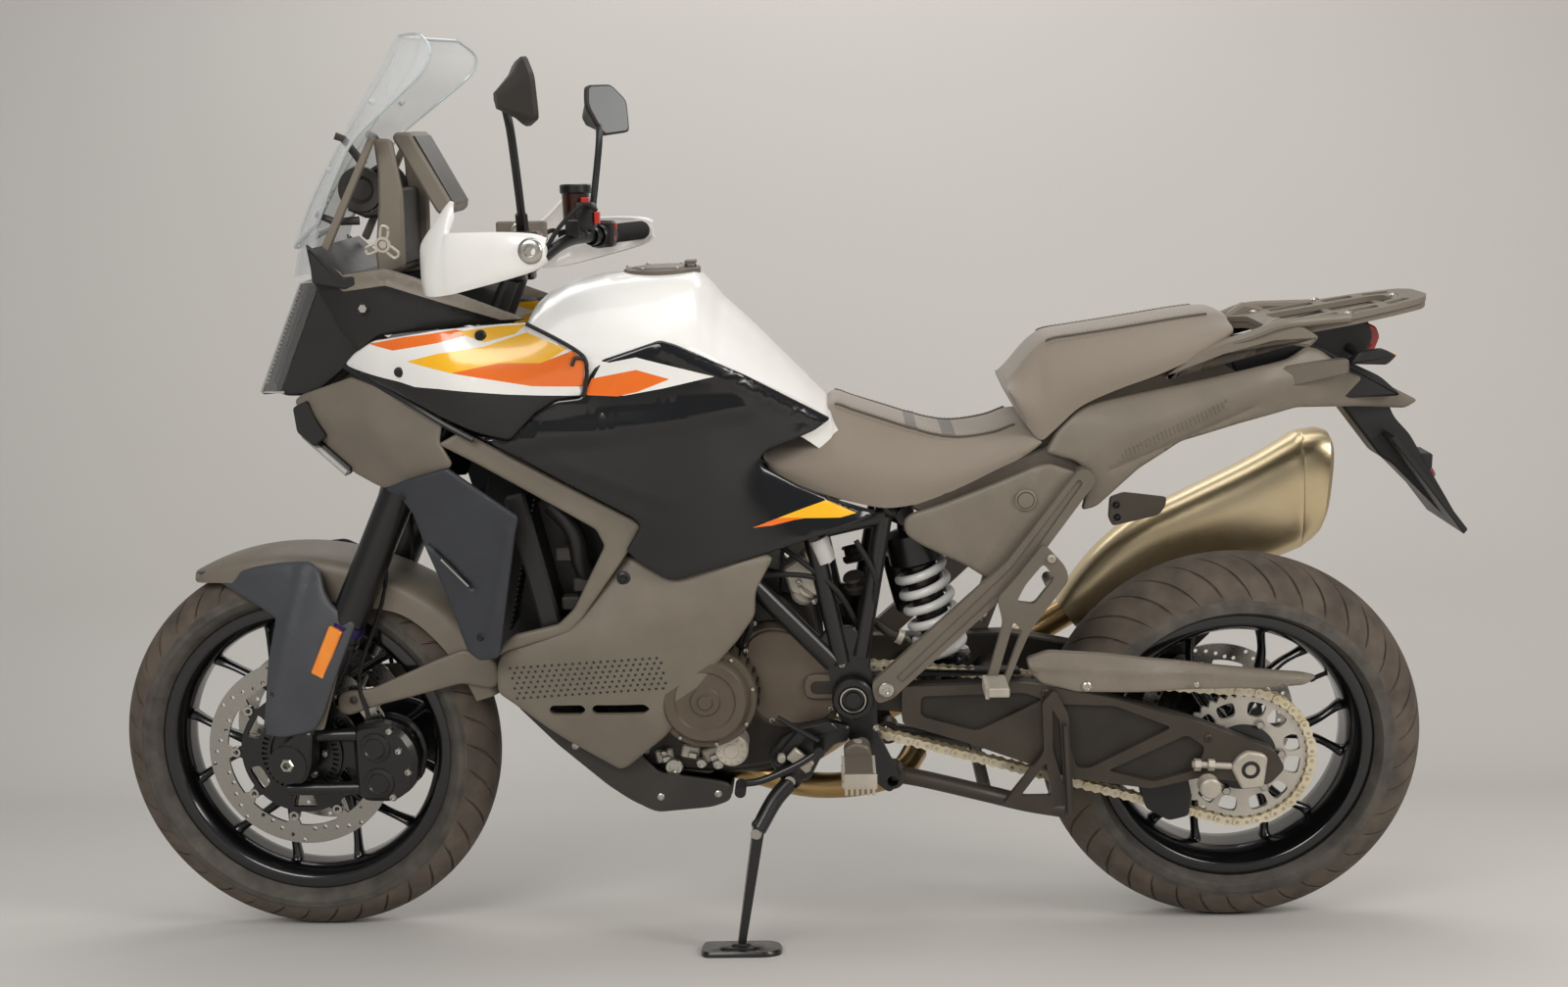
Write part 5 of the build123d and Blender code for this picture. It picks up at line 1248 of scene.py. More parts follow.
for way in (-1, 1):
    border = [(21, way * 77, 945), (-16, way * 77, 946), (61, way * 77, 1118), (92, way * 77, 1122)]
    add(parts, 2, tube(border, 2.2, 8))
finishMesh("headLamp", parts, ["blackAbs", "lampLens", "lampInside"], replaces=("headlight",))

cockpitDepth = [(95, 128, 1185), (105, 130, 1125), (150, 146, 1135), (165, 150, 1022), (215, 158, 1145),
                (310, 166, 1108), (425, 170, 1062), (340, 168, 1060), (200, 156, 1044)]
bodyPanel("cockpitSides",
          [(96, 1186), (116, 1166), (150, 1138), (215, 1146), (262, 1130), (310, 1110), (428, 1064),
           (400, 1058), (340, 1056), (200, 1042), (166, 1020), (140, 1052), (104, 1125)],
          cockpitDepth, ["blackAbs", "bronzeAbs"], plane=159.0,
          regions=[([(120, 1170), (150, 1137), (215, 1146), (262, 1130), (310, 1110), (428, 1064),
                     (390, 1064), (300, 1092), (216, 1120), (150, 1112), (128, 1130)], 1)],
          creases=[(150, 1112, 216, 1120, 3, 8), (216, 1120, 390, 1064, 3, 8)], corner=6, edge=5, wall=4,
          replaces=("cockpit",))
shelf = plate([(98, 1178), (148, 1132), (212, 1140), (212, 1128), (150, 1114), (100, 1124)], -150, 150, 4, 2)
knob = spun([(0, 8), (10, 8), (12, 6.5), (12, 0.1)], (178, -150, 1085), 6, (0, -1, 0))

# Screen wheel: a ring with three arms, each arm a small loop.
wheelAt = np.array([217.0, -165, 1182])
starWheel = [spun([(-2, 8), (3, 8), (3, 12), (-2, 12), (-2, 8)], wheelAt, 24, (0, -1, 0)),
             tube([wheelAt, wheelAt + (0, 20, 0)], 6, 12)]
for turn in np.radians((80, 200, 320)):
    arm = [wheelAt + (r * math.cos(turn + b), 0, r * math.sin(turn + b))
           for r, b in ((11, -0.5), (20, -0.3), (27, -0.16), (28, 0.16), (20, 0.3), (11, 0.5))]
    starWheel.append(tube(smoothPath(arm, 3), 2.4, 8))
starWheel = joined(starWheel)[:2]
parts = [(*shelf, 0), (*knob, 1), (*mirrored(knob), 1), (*starWheel, 2)]
finishMesh("cockpitShelf", parts, ["blackAbs", "silverBolt", "castAlloy"])

towerSide = [(196, 1340), (224, 1338), (236, 1254), (232, 1140), (190, 1128), (188, 1165), (198, 1240),
             (200, 1290)]
parts = []
for way in (-1, 1):
    add(parts, 0, plate(towerSide, way * 84, way * 100, 8, 4))
    add(parts, 1, tube([(178, way * 92, 1300), (150, way * 96, 1340), (138, way * 99, 1345)], [7, 6, 6], 10))
    add(parts, 1, tube([(165, way * 92, 1215), (128, way * 98, 1214), (100, way * 97, 1226)], [7, 6, 5], 10))
    add(parts, 1,
        spun([(-16, 30), (-10, 36), (-4, 34), (-4, 22), (-12, 16), (-12, 0.1)], (168, way * 92, 1262), 30,
             (0, way, 0)))
hood = plate([(218, 1340), (224, 1348), (246, 1347), (304, 1240), (306, 1228), (296, 1218), (282, 1222)], -68,
             68, 6, 4)
screenFace = plate([(249, 1342), (252, 1342), (308, 1236), (305, 1234)], -58, 58, 1, 0.5)
add(parts, 0, hood)
add(parts, 2, screenFace)
add(parts, 1, boxAt((208, 0, 1200), (24, 170, 120)))
bar = [(112, 1178), (196, 1342), (206, 1340), (122, 1170)]
add(parts, 0, plate(bar, -128, -116, 3, 1.5), plate(bar, 116, 128, 3, 1.5))
finishMesh("dashTower", parts, ["bronzeAbs", "darkAbs", "displayGlass"], replaces=("dash",))
print("screen, lamp, cockpit and dash done")

# Handlebar and its controls, in the steered frame.
barEnd, barRise = np.array([523.0, 422.0, 1174.0]), 122.0
clampTop = np.array(onLeg(760 + barRise, 0, -36 + 12))
barRoute = [(barEnd[0], -422, barEnd[2]), (435, -165, 1168), (clampTop[0], -60, clampTop[2]),
            (clampTop[0], 60, clampTop[2]), (435, 165, 1168), (barEnd[0], 422, barEnd[2])]
parts = [(*tube(roundedPath(barRoute, 45, 8), 11, 20), 0)]
for way in (-1, 1):
    tip, bend = np.array([523, way * 422, 1174.0]), np.array([435, way * 165, 1168.0])
    inward = (bend - tip) / np.linalg.norm(bend - tip)
    at = lambda d, off=(0, 0, 0): tip + inward * d + np.array(off, float)
    ribs = [(d, 17 if k % 2 else 16) for k, d in enumerate(np.arange(2, 118, 2.4))]
    add(parts, 1,
        spun([(0, 10), (0, 16)] + ribs + [(119, 19.5), (123, 19.5), (124, 12)], tip, 28, inward, True))
    add(parts, 0, spun([(-4, 0.1), (-4, 12), (0, 15), (3, 15)], tip, 24, inward))
    add(parts, 0,
        spun([(126, 14), (127, 21), (134, 23), (160, 23), (166, 19), (166, 12)], tip, 28, inward, True))
    add(parts, 2, boxAt(at(147, (2, 0, 2)), (44, 36, 46)))
    add(parts, 3, boxAt(at(143, (21, 0, 14)), (8, 12, 12)))
    add(parts, 3 if way > 0 else 2, boxAt(at(150, (22, 0, -6)), (7, 12, 8)))
    add(parts, 0, spun([(170, 12), (170, 16), (186, 16), (186, 12)], tip, 20, inward))
    master = tube([at(176, (-22, 0, 4)), at(226, (-26, 0, 3))], [14, 12], 16)
    lever = smoothPath([at(172, (-34, 0, 0)), at(150, (-52, 0, -3)), at(110, (-62, 0, -6)),
                        at(60, (-60, 0, -6)), at(22, (-54, 0, -6)), at(12, (-56, 0, -6))], 6)
    thick = np.interp(np.linspace(0, 1, len(lever)), (0, 0.2, 0.8, 0.93, 1), (7, 5.5, 4.5, 6, 7))
    add(parts, 0, master, tube(lever, thick, 12, flat=1.35))
    hose = smoothPath([at(226, (-26, 0, 3)), at(252, (-34, 0, 14)), at(284, (-48, 0, -8)),
                       at(306, (-58, 0, -44))], 6)
    add(parts, 1, tube(hose, 4, 8))
    add(parts, 0,
        spun([(0, 13), (18, 13), (20, 10)], (clampTop[0], way * 30 - 10, clampTop[2]), 8, (0, 1, 0), True))
    riser = tube([onLeg(779, way * 30, -24), onLeg(760 + barRise - 8, way * 30, -24)], [17, 14], 16)
    add(parts, 0, riser, boxAt(clampTop + (0, way * 30, 4), (46, 26, 30)))
    for dx in (-14, 14):
        add(parts, 4, spun([(0, 5), (5, 5), (6, 3)], clampTop + (dx, way * 30, 18), 10, (0, 0, 1), True))
add(parts, 2, boxAt((468, 186, 1206), (34, 34, 46)))
add(parts, 3, boxAt((470, 178, 1233), (13, 15, 9)))
add(parts, 3, boxAt((490, 176, 1203), (8, 15, 20)))
add(parts, 0, boxAt((448, 178, 1186), (26, 22, 30)))
for start in (0, 9):
    cable = smoothPath([(486, 190 - start, 1216), (470, 158 - start, 1226), (436, 130 - start, 1190),
                        (404, 118 - start, 1140)], 6)
    add(parts, 1, tube(cable, 3.2, 8))
add(parts, 6, boxAt((424, -92, 1190), (78, 18, 32)))
add(parts, 4, spun([(0, 15), (4, 15), (5, 12), (2, 11), (2, 0.1)], (424, -101, 1190), 26, (0, -1, 0)))
add(parts, 5, spun([(-28, 20), (-28, 23), (22, 24), (22, 0.1)], (446, 214, 1222), 32, (0, 0, 1)))
add(parts, 0, spun([(22, 25.5), (24, 27), (36, 27), (38, 25), (38, 0.1)], (446, 214, 1222), 32, (0, 0, 1)))
add(parts, 0, tube([(453, 214, 1168), (448, 214, 1196)], [13, 15], 16))
finishMesh("handleBar", parts,
           ["frameBlack", "rubber", "blackAbs", "redPlastic", "silverBolt", "brownFluid", "bronzeMetal"],
           "steering", replaces=("handlebar",))

# Guard rows: x, |y|, lowest and highest z, and how far the upper edge leans back into the blade.
guardPlan = smoothPath([(541, 440, 1163, 1187, 0), (522, 440, 1150, 1194, 0), (480, 434, 1137, 1197, 0),
                        (430, 420, 1124, 1197, 0), (402, 408, 1117, 1197, 0), (386, 398, 1114, 1199, 6),
                        (368, 386, 1111, 1240, 32), (352, 366, 1111, 1206, 14), (340, 338, 1114, 1180, 0),
                        (334, 305, 1122, 1170, 0), (331, 268, 1132, 1160, 0)], 6)
rows = []
for s in np.linspace(0, 1, 17):
    z = guardPlan[:, 2] + (guardPlan[:, 3] - guardPlan[:, 2]) * s
    bow = 7 * math.sin(math.pi * s) ** 0.6
    rows.append(np.stack([guardPlan[:, 0] + guardPlan[:, 4] * s ** 2, -(guardPlan[:, 1] + bow - 6), z], -1))
shell = thicken(np.array(rows), 5.0)
hook = tube([(523, -424, 1174), (522, -442, 1174)], [17, 17], 28)
cap = spun([(0, 18), (4, 17), (6, 13), (6, 8), (3, 7), (3, 0.1)], (521, -443, 1174), 28, (0, -1, 0))
parts = [(*shell, 0), (*hook, 0), (*cap, 1)]
finishMesh("handGuards", twoSides(parts), ["whitePaint", "silverBolt"], "steering", replaces=("handguards",),
           sharpDeg=50)

parts = []
for way in (-1, 1):
    aside, tipped = math.radians(-way * 22), math.radians(-way * 3 - 9)
    turn = np.array(Matrix.Rotation(aside, 3, "Z") @ Matrix.Rotation(tipped, 3, "Y"))
    frameAt = np.array([482.0 - way * 19, way * 385, 1388])
    loop = softLoop([(-62 * way, 5), (-50 * way, 42), (30 * way, 46), (72 * way, 18), (60 * way, -40),
                     (-30 * way, -48)], 12, 5)
    rows = []
    hull = [(-34, 0.02), (-34, 0.24), (-30, 0.3), (-8, 0.66), (0, 0.88), (6, 1.0), (12, 1.0), (13, 0.97)]
    for x, grow in hull:
        rows.append(np.column_stack([np.full(len(loop), float(x)), loop * grow]) + (0, 0, -10 * (1 - grow)))
    rows = np.array(rows)
    n = rows.shape[1]
    body = (rows.reshape(-1, 3) @ turn.T + frameAt,
            gridFaces(len(rows), n, wrapCols=True).tolist() + ringCaps(len(rows), n)[1:])
    glass = np.vstack([np.column_stack([np.full(n, x), loop * 0.92]) for x in (13.6, 12.0)])
    sheet = (glass @ turn.T + frameAt, gridFaces(2, n, wrapCols=True).tolist() + ringCaps(2, n))
    add(parts, 0, body)
    add(parts, 2, sheet)
    stem = smoothPath([(462, way * 240, 1176), (466, way * 262, 1224), (470, way * 316, 1330),
                       (468 - way * 6, way * 356, 1366), (466 - way * 12, way * 374, 1378)], 5)
    add(parts, 1, tube(stem, 6.2, 14))
    add(parts, 1, tube([(462, way * 238, 1172), (465, way * 258, 1220)], [10, 9], 6))
    add(parts, 0,
        spun([(-10, 0.1), (-10, 11), (-6, 13), (6, 13), (10, 9)], (464 - way * 13, way * 378, 1380), 20,
             (-0.4, -0.9 * way, 0)))
finishMesh("rearMirrors", parts, ["darkAbs", "frameBlack", "glassMirror"], "steering", replaces=("mirrors",),
           sharpDeg=40)
print("bar, guards and mirrors done")

# Fender: rows are (angle round the axle, crown radius, half width, skirt radius).
fenderRows = smoothPath([(121, 352, 34, 344), (117, 351, 56, 336), (110, 350, 68, 322), (100, 348, 75, 306),
                         (90, 347, 77, 292), (78, 348, 77, 285), (66, 352, 77, 290), (52, 362, 76, 318),
                         (38, 372, 74, 326), (26, 374, 72, 328), (17, 366, 66, 330)], 5)
grid = []
for angle, crown, half, skirt in fenderRows:
    a = math.radians(angle)
    line = []
    for v in np.linspace(-1, 1, 27):
        w = abs(v)
        across = half * min(1.0, w / 0.72) ** 0.92
        r = crown - (crown - skirt) * max(0.0, (w - 0.62) / 0.38) ** 1.3 - 10 * min(1, w / 0.62) ** 2.4
        line.append((r * math.cos(a), math.copysign(across, v), axles["frontZ"] + r * math.sin(a)))
    grid.append(line)
finishMesh("fenderTop", [thicken(np.array(grid), -4.0)], "bronzeAbs", "steering", replaces=("front_fender",),
           sharpDeg=50)
fenderSide = [(-12, 571), (-30, 500), (-41, 421), (-47, 384), (-44, 371), (-14, 367), (39, 379), (57, 407),
              (121, 561), (112, 572), (84, 592), (72, 616), (68, 650), (50, 667), (0, 664), (-64, 653),
              (-144, 648), (-107, 634)]
bodyPanel("fenderSides", fenderSide,
          [(-144, 50, 648), (-64, 76, 652), (50, 94, 667), (-107, 64, 634), (-12, 106, 571), (-32, 122, 500),
           (68, 118, 620), (121, 135, 561), (-44, 126, 400), (50, 138, 395), (20, 138, 480), (10, 124, 560)],
          "slateAbs", body="steering", plane=105.0,
          creases=[(40, 655, -30, 400, 3, 16), (10, 650, -60, 640, 2, 12)], corner=8, edge=5, wall=3, step=10)
stayDepth = [(82, 84, 430), (150, 86, 445), (250, 84, 490), (345, 78, 480)]
bodyPanel("fenderStays",
          [(82, 414), (84, 440), (96, 448), (140, 452), (250, 501), (300, 520), (352, 500), (357, 470),
           (345, 455), (293, 463), (150, 424), (100, 406)], stayDepth, "bronzeAbs", body="steering",
          plane=105.0, corner=8, edge=5, wall=4, step=10)
points, faces = plate([(79, 560), (99, 549), (63, 469), (42, 480)], -144, -134, 3, 2)
flat = onDepth(points[:, (0, 2)], 139.0, 105.0, True)
parts = [(np.column_stack([flat[:, 0], points[:, 1], flat[:, 1]]), faces)]
add(parts, 1, screwHeads([(-13, -132, 452), (-40, -130, 388), (104, -88, 428)], 6, 3))
finishMesh("fenderReflectors", twoSides(parts), ["amberLens", "darkAbs"], "steering")

parts = []
for way in (-1, 1):
    leg = way * 105.0
    add(parts, 1, spun([(0, 27), (0, 30.5), (4, 31.5), (16, 31.5), (16, 27)], onLeg(246, leg), 32, steerWay))
    add(parts, 0, spun([(0, 29), (0, 30.5), (8, 30.5), (8, 29)], onLeg(226, leg), 32, steerWay))
    add(parts, 0, spun([(0, 29), (0, 31), (14, 31), (14, 29)], onLeg(500, leg), 32, steerWay))
    top = onLeg(790, leg)
    add(parts, 2,
        spun([(0, 30), (4, 30), (6, 26), (6, 17), (3, 16), (3, 9), (10, 8), (10, 0.1)], top, 28, steerWay))
    foot = plate([(-24, axles["frontZ"] - 30), (24, axles["frontZ"] - 34), (38, axles["frontZ"] - 6),
                  (44, axles["frontZ"] + 52), (30, axles["frontZ"] + 66), (-4, axles["frontZ"] + 40),
                  (-30, axles["frontZ"] + 6)], way * 84, way * 128, 12, 4)
    add(parts, 0, foot)
    add(parts, 0,
        spun([(126, 0.1), (126, 12), (128, 20), (128, 24), (120, 26)][::-1], (0, 0, axles["frontZ"]), 28,
             (0, way, 0)))
    add(parts, 2,
        spun([(124, 12), (132, 12), (134, 10), (134, 7), (128, 6), (128, 0.1)], (0, 0, axles["frontZ"]), 6,
             (0, way, 0)))
    for yoke in (560, 760):
        for off in (-8, 8):
            add(parts, 2,
                screwHeads([onLeg(yoke + off, way * 88, -34)], 5.5, 6, -steerWay[[2, 1, 0]] * (-1, 1, 1)))
    line = smoothPath([onLeg(560, way * 60, 20), onLeg(470, way * 70, 34), onLeg(330, way * 74, -30),
                       onLeg(180, way * 80, -44), (130, way * 92, axles["frontZ"] + 70)], 6)
    add(parts, 3, tube(line, 4, 8))
for way in (-1, 1):
    add(parts, 4, plate([(84, 536), (112, 543), (64, 388), (44, 388)], way * 119, way * 126, 4, 2))
finishMesh("forkDetails", parts, ["frameBlack", "purpleRing", "silverBolt", "rubber", "bronzeMetal"],
           "steering")

caliperSide = [(104, 388), (150, 396), (186, 384), (206, 356), (212, 330), (204, 284), (168, 258), (120, 258),
               (104, 270)]
parts = []
for way in (-1, 1):
    outer = plate(caliperSide, way * 72, way * 106, 14, 8)
    inner = plate(caliperSide, way * 38, way * 53, 14, 5)
    bridge = plate([(176, 372), (196, 366), (208, 330), (198, 282), (176, 270), (186, 320)], way * 52,
                   way * 73, 5, 2)
    add(parts, 0, outer, inner, bridge)
    for x, z in ((142, 352), (146, 292)):
        add(parts, 0,
            spun([(104, 27), (108, 25), (110, 18), (108, 16), (108, 0.1)], (x, 0, z), 26, (0, way, 0)))
    for x, z in ((168, 382), (168, 268), (196, 312), (182, 348)):
        add(parts, 1, screwHeads([(x, way * 104, z)], 7, 7, (0, way, 0)))
    for rise in (-50, 42):
        z = axles["frontZ"] + rise
        add(parts, 0,
            tube([(4 + rise * 0.3, way * 100, z), (60, way * 96, z), (112, way * 92, z)], [13, 10, 12], 14))
finishMesh("brakeCalipers", parts, ["frameBlack", "silverBolt"], "steering", replaces=("front_callipers",))
print("fender, fork and callipers done")


def turnedCover(x, z, inner, outer, radius, steps=64):
    # a round cover: rolled edge, a shallow step and a raised boss in the middle
    r = radius
    return spun([(inner, r), (outer - 20, r), (outer - 17, r - 2), (outer - 17, r * 0.88),
                 (outer - 5, r * 0.84), (outer, r * 0.78), (outer, r * 0.6), (outer - 3, r * 0.57),
                 (outer - 3, r * 0.3), (outer, r * 0.27), (outer, r * 0.16), (outer + 4, r * 0.13),
                 (outer + 4, 0.1)], (x, 0, z), steps, (0, -1, 0))


def ribbedRing(x, z, y, radius, count, size):
    turns = np.linspace(0, 2 * math.pi, count, endpoint=False)
    return joined([boxAt((x + radius * math.cos(a), y, z + radius * math.sin(a)), size, yTurn(-a))
                   for a in turns])


block = [(540, 600), (700, 640), (850, 590), (872, 500), (872, 350), (760, 318), (600, 322), (545, 420)]
parts = [(*turnedCover(687, 456, 98, 196, 82), 0), (*plate(block, -79, 108, 16, 5), 1)]
for a in np.linspace(0.2, 2 * math.pi + 0.2, 9)[:-1]:
    add(parts, 2, screwHeads([(687 + 77 * math.cos(a), -178, 456 + 77 * math.sin(a))], 4, 4))
add(parts, 3,
    spun([(100, 27), (160, 27), (164, 24), (164, 12), (166, 11), (166, 0.1)], (725, 0, 362), 36, (0, -1, 0)))
add(parts, 1, ribbedRing(687, 456, -136, 83, 30, (6, 50, 5)))
for a in np.linspace(0, 2 * math.pi, 12, endpoint=False):
    add(parts, 3, screwHeads([(725 + 20 * math.cos(a), -164, 362 + 20 * math.sin(a))], 1.8, 2))
clutchCase = plate([(744, 548), (780, 566), (830, 560), (872, 528), (900, 500), (912, 440), (892, 394),
                    (830, 382), (770, 392), (742, 430), (732, 490)], -126, -84, 30, 8)
clutchFace = plate([(756, 540), (784, 554), (828, 549), (866, 520), (892, 494), (902, 444), (884, 404),
                    (830, 393), (776, 402), (753, 436), (744, 490)], -131, -125, 26, 2)
slotPlate = plate([(842, 480), (908, 480), (908, 438), (842, 438)], -139, -130, 19, 3)
# the slot's hollow is drawn as a darker black cast plate standing proud of the slot plate: painted shade in
# the recess
slotShadePlate = plate([(854, 470), (904, 470), (904, 448), (854, 448)], -140, -134, 10, 1)
add(parts, 0, clutchCase, clutchFace)
add(parts, 0, slotPlate)
add(parts, 1, slotShadePlate)
crankcase = [(556, 588), (600, 620), (700, 648), (770, 632), (834, 584), (872, 520), (880, 430), (868, 372),
             (800, 322), (690, 306), (590, 318), (548, 350), (536, 440)]
caseSide = plate(crankcase, -112, -98, 18, 5)
sump = plate([(556, 372), (566, 346), (604, 312), (690, 298), (700, 330), (690, 352), (640, 370)], -104, 100,
             12, 5)
sumpPan = plate([(680, 330), (700, 296), (780, 300), (846, 330), (860, 372), (840, 400), (700, 400)], -94,
                104, 14, 6)
rightSide = plate(crankcase, 98, 128, 18, 5)
clutch = spun([(112, 96), (176, 96), (190, 88), (198, 74), (198, 40), (202, 36), (202, 0.1)], (700, 0, 470),
              64)
pump = spun([(112, 52), (160, 52), (170, 44), (170, 0.1)], (820, 0, 440), 40)
add(parts, 1, caseSide)
add(parts, 3, sump)
add(parts, 1, sumpPan)
add(parts, 0, rightSide, clutch, pump)
cylinder = plate([(556, 606), (640, 628), (770, 652), (812, 640), (806, 560), (560, 560)], -92, 92, 10, 5)
add(parts, 1, cylinder)
caseBolts = [(765, 566), (750, 520), (835, 556), (684, 585), (878, 512), (886, 420), (790, 402), (752, 430),
             (742, 584)]
for x, z in caseBolts:
    add(parts, 2, screwHeads([(x, -126 if x > 745 else -112, z)], 5.5, 7))
for x, z, r in ((628, 322, 15), (585, 307, 12), (673, 328, 9), (700, 326, 9), (560, 338, 7), (612, 346, 6)):
    add(parts, 2,
        spun([(100, r), (128, r), (130, r - 2), (130, r * 0.55), (127, r * 0.5), (127, 0.1)], (x, 0, z), 20,
             (0, -1, 0)))
for x, z, turn in ((575, 356, 20), (612, 338, -10), (655, 344, 12), (690, 340, -20)):
    block = yTurn(math.radians(turn))
    add(parts, 3, boxAt((x, -108, z), (30, 22, 24), block))
    add(parts, 2, boxAt((x + 4, -120, z - 4), (14, 8, 10), block))
for way in (-1, 1):
    head = plate([(812, 652), (850, 676), (884, 660), (892, 628), (860, 600), (824, 610)], way * 60,
                 way * 116, 8, 4)
    body = spun([(-20, 24), (22, 24), (24, 20), (24, 0.1)], (866, way * 100, 668), 24, (0.3, way, 0.5), True)
    add(parts, 3, head, body)
    flange = [(-16, 0.1), (-16, 15), (-11, 19), (-4, 19), (-2, 14), (8, 14), (10, 18), (14, 16), (14, 0.1)]
    add(parts, 3, spun(flange, (846, way * 104, 610), 24, (0.5, way * 0.5, 0.7)))
    add(parts, 1, spun(flange, (928, way * 96, 622), 24, (-0.2, way * 0.3, 0.9)))
    add(parts, 2, screwHeads([(862, way * 118, 598), (838, way * 118, 630)], 5, 8, (0, way, 0)))
add(parts, 4,
    tube(smoothPath([(724, -176, 654), (752, -184, 620), (762, -180, 580), (752, -160, 545)], 8), 5, 10))
add(parts, 4,
    tube(smoothPath([(590, -118, 640), (560, -126, 560), (560, -122, 470), (590, -116, 410)], 8), 14, 14))
add(parts, 1, tube([(958, -92, 556), (985, -98, 536), (1006, -98, 527)], [7, 9, 8], 14))
add(parts, 3, spun([(-5, 9), (-5, 12), (5, 12), (5, 9)], (1000, -98, 530), 20, (0.9, 0, -0.4), True))
for sweep in ([(720, -150, 640), (800, -146, 650), (870, -140, 640), (905, -136, 600)],
              [(812, -128, 690), (850, -140, 664), (900, -144, 620), (930, -120, 560)],
              [(930, -130, 700), (960, -140, 640), (950, -130, 580), (915, -120, 530)]):
    add(parts, 4, tube(smoothPath(sweep, 6), 4.5, 8))
finishMesh("engineCovers", parts, ["castCover", "castBlack", "silverBolt", "castAlloy", "rubber"],
           sharpDeg=30, replaces=("engine",))

# Radiators behind the ducts: a finned core each side, and a black inner wall that is painted shade, a dark
# sheet standing in for the shaded inside of each duct.
parts = []
for way in (-1, 1):
    core = yTurn(math.radians(-13))
    add(parts, 0, boxAt((424, way * 118, 680), (34, 128, 232), core))
    for k in range(26):
        z = 574 + k * 8.4
        add(parts, 1, boxAt((405 + (z - 680) * 0.23, way * 118, z), (3, 118, 3), core))
    # painted shade: this black sheet fills the duct behind the core, where the inside is only in shade
    wall = plate([(356, 846), (374, 868), (440, 838), (590, 758), (600, 720), (560, 650), (520, 604),
                  (500, 560), (400, 520), (356, 520), (318, 560), (322, 700), (342, 790)], way * 96,
                 way * 104, 8, 2)
    add(parts, 0, wall)
    hose = smoothPath([(452, way * 150, 770), (486, way * 158, 730), (496, way * 150, 670),
                       (520, way * 130, 620)], 7)
    add(parts, 0, tube(hose, 15, 14))
    for x, z in ((470, 690), (496, 640), (476, 610)):
        add(parts, 2, boxAt((x, way * 146, z), (30, 26, 22)))
finishMesh("radiatorCores", parts, ["blackAbs", "frameBlack", "darkAbs"])

# Belly: two plates and a pressed tray under the engine.
panSide = [(376, 436), (400, 440), (470, 420), (556, 384), (572, 352), (604, 316), (690, 303), (722, 296),
           (722, 268), (690, 256), (598, 248), (556, 270), (520, 296), (440, 368)]
tray = [(398, 418), (440, 366), (520, 294), (556, 268), (598, 247), (690, 254), (716, 262), (722, 268)]
rows = []
for x, z in smoothPath(tray, 5):
    rows.append([(x, y, z + 9 * (abs(y) / 136) ** 6) for y in np.linspace(-136, 136, 21)])
parts = [(*thicken(np.array(rows), 5.0), 1)]
for way in (-1, 1):
    add(parts, 0, plate(panSide, way * 128, way * 140, 12, 3))
    for x, z in ((606, 276), (700, 280), (470, 366)):
        add(parts, 2, screwHeads([(x, way * 140, z)], 6, 3, (0, way, 0)))
finishMesh("bellyPan", parts, ["darkAbs", "frameBlack", "silverBolt"], replaces=("belly_pan",))

# Frame fittings: pivot bosses, blank label, gussets and bolts.
parts = []
for way in (-1, 1):
    add(parts, 0,
        spun([(150, 34), (160, 34), (163, 31), (163, 24), (158, 22), (158, 13), (161, 12), (161, 0.1)],
             (922, 0, 445), 36, (0, way, 0)))
    add(parts, 1, spun([(156, 21), (164.5, 21), (165, 19), (160, 17)], (922, 0, 445), 36, (0, way, 0)))
    add(parts, 0,
        plate([(866, 536), (884, 560), (925, 560), (952, 520), (948, 470), (900, 470)], way * 126, way * 140,
              8, 2))
    for x, z in ((480, 800), (905, 500), (958, 392), (940, 330)):
        add(parts, 1, screwHeads([(x, way * 142, z)], 7, 6, (0, way, 0)))
label = tube([(868, -136, 706), (881, -134, 668)], 17.2, 24)
add(parts, 2, label)
finishMesh("frameFittings", parts, ["frameBlack", "silverBolt", "labelSilver"])

# Subframe: pressed struts with a hollow web, and the tail rails.
strut = [(955, 450), (962, 438), (985, 446), (1192, 640), (1304, 796), (1296, 812), (1278, 816), (1166, 668),
         (952, 472)]
web = [(1000, 472), (1180, 642), (1284, 794), (1276, 800), (1172, 660), (990, 482)]
rail = [(1008, 762), (1030, 740), (1235, 806), (1290, 790), (1420, 876), (1560, 920), (1700, 950),
        (1700, 974), (1600, 964), (1400, 912), (1290, 868), (1215, 836)]
parts = []
for way in (-1, 1):
    add(parts, 0, plate(strut, way * 142, way * 157, 8, 3))
    ring = cutPlate(softLoop(strut, 8, 4), [softLoop(web, 4, 3)], way * 156, way * 161)
    add(parts, 0, ring)
    add(parts, 0, plate(rail, way * 92, way * 116, 8, 3))
    add(parts, 1,
        spun([(158, 12), (166, 12), (167, 10), (167, 6), (163, 5), (163, 0.1)], (975, 0, 462), 24,
             (0, way, 0)))
for x, z, reach in ((1050, 765, 95), (1283, 806, 155), (1560, 945, 95)):
    add(parts, 0, tube([(x, -reach, z), (x, reach, z)], 9, 16))
finishMesh("subFrame", parts, ["bronzeMetal", "silverBolt"], replaces=("subframe",))
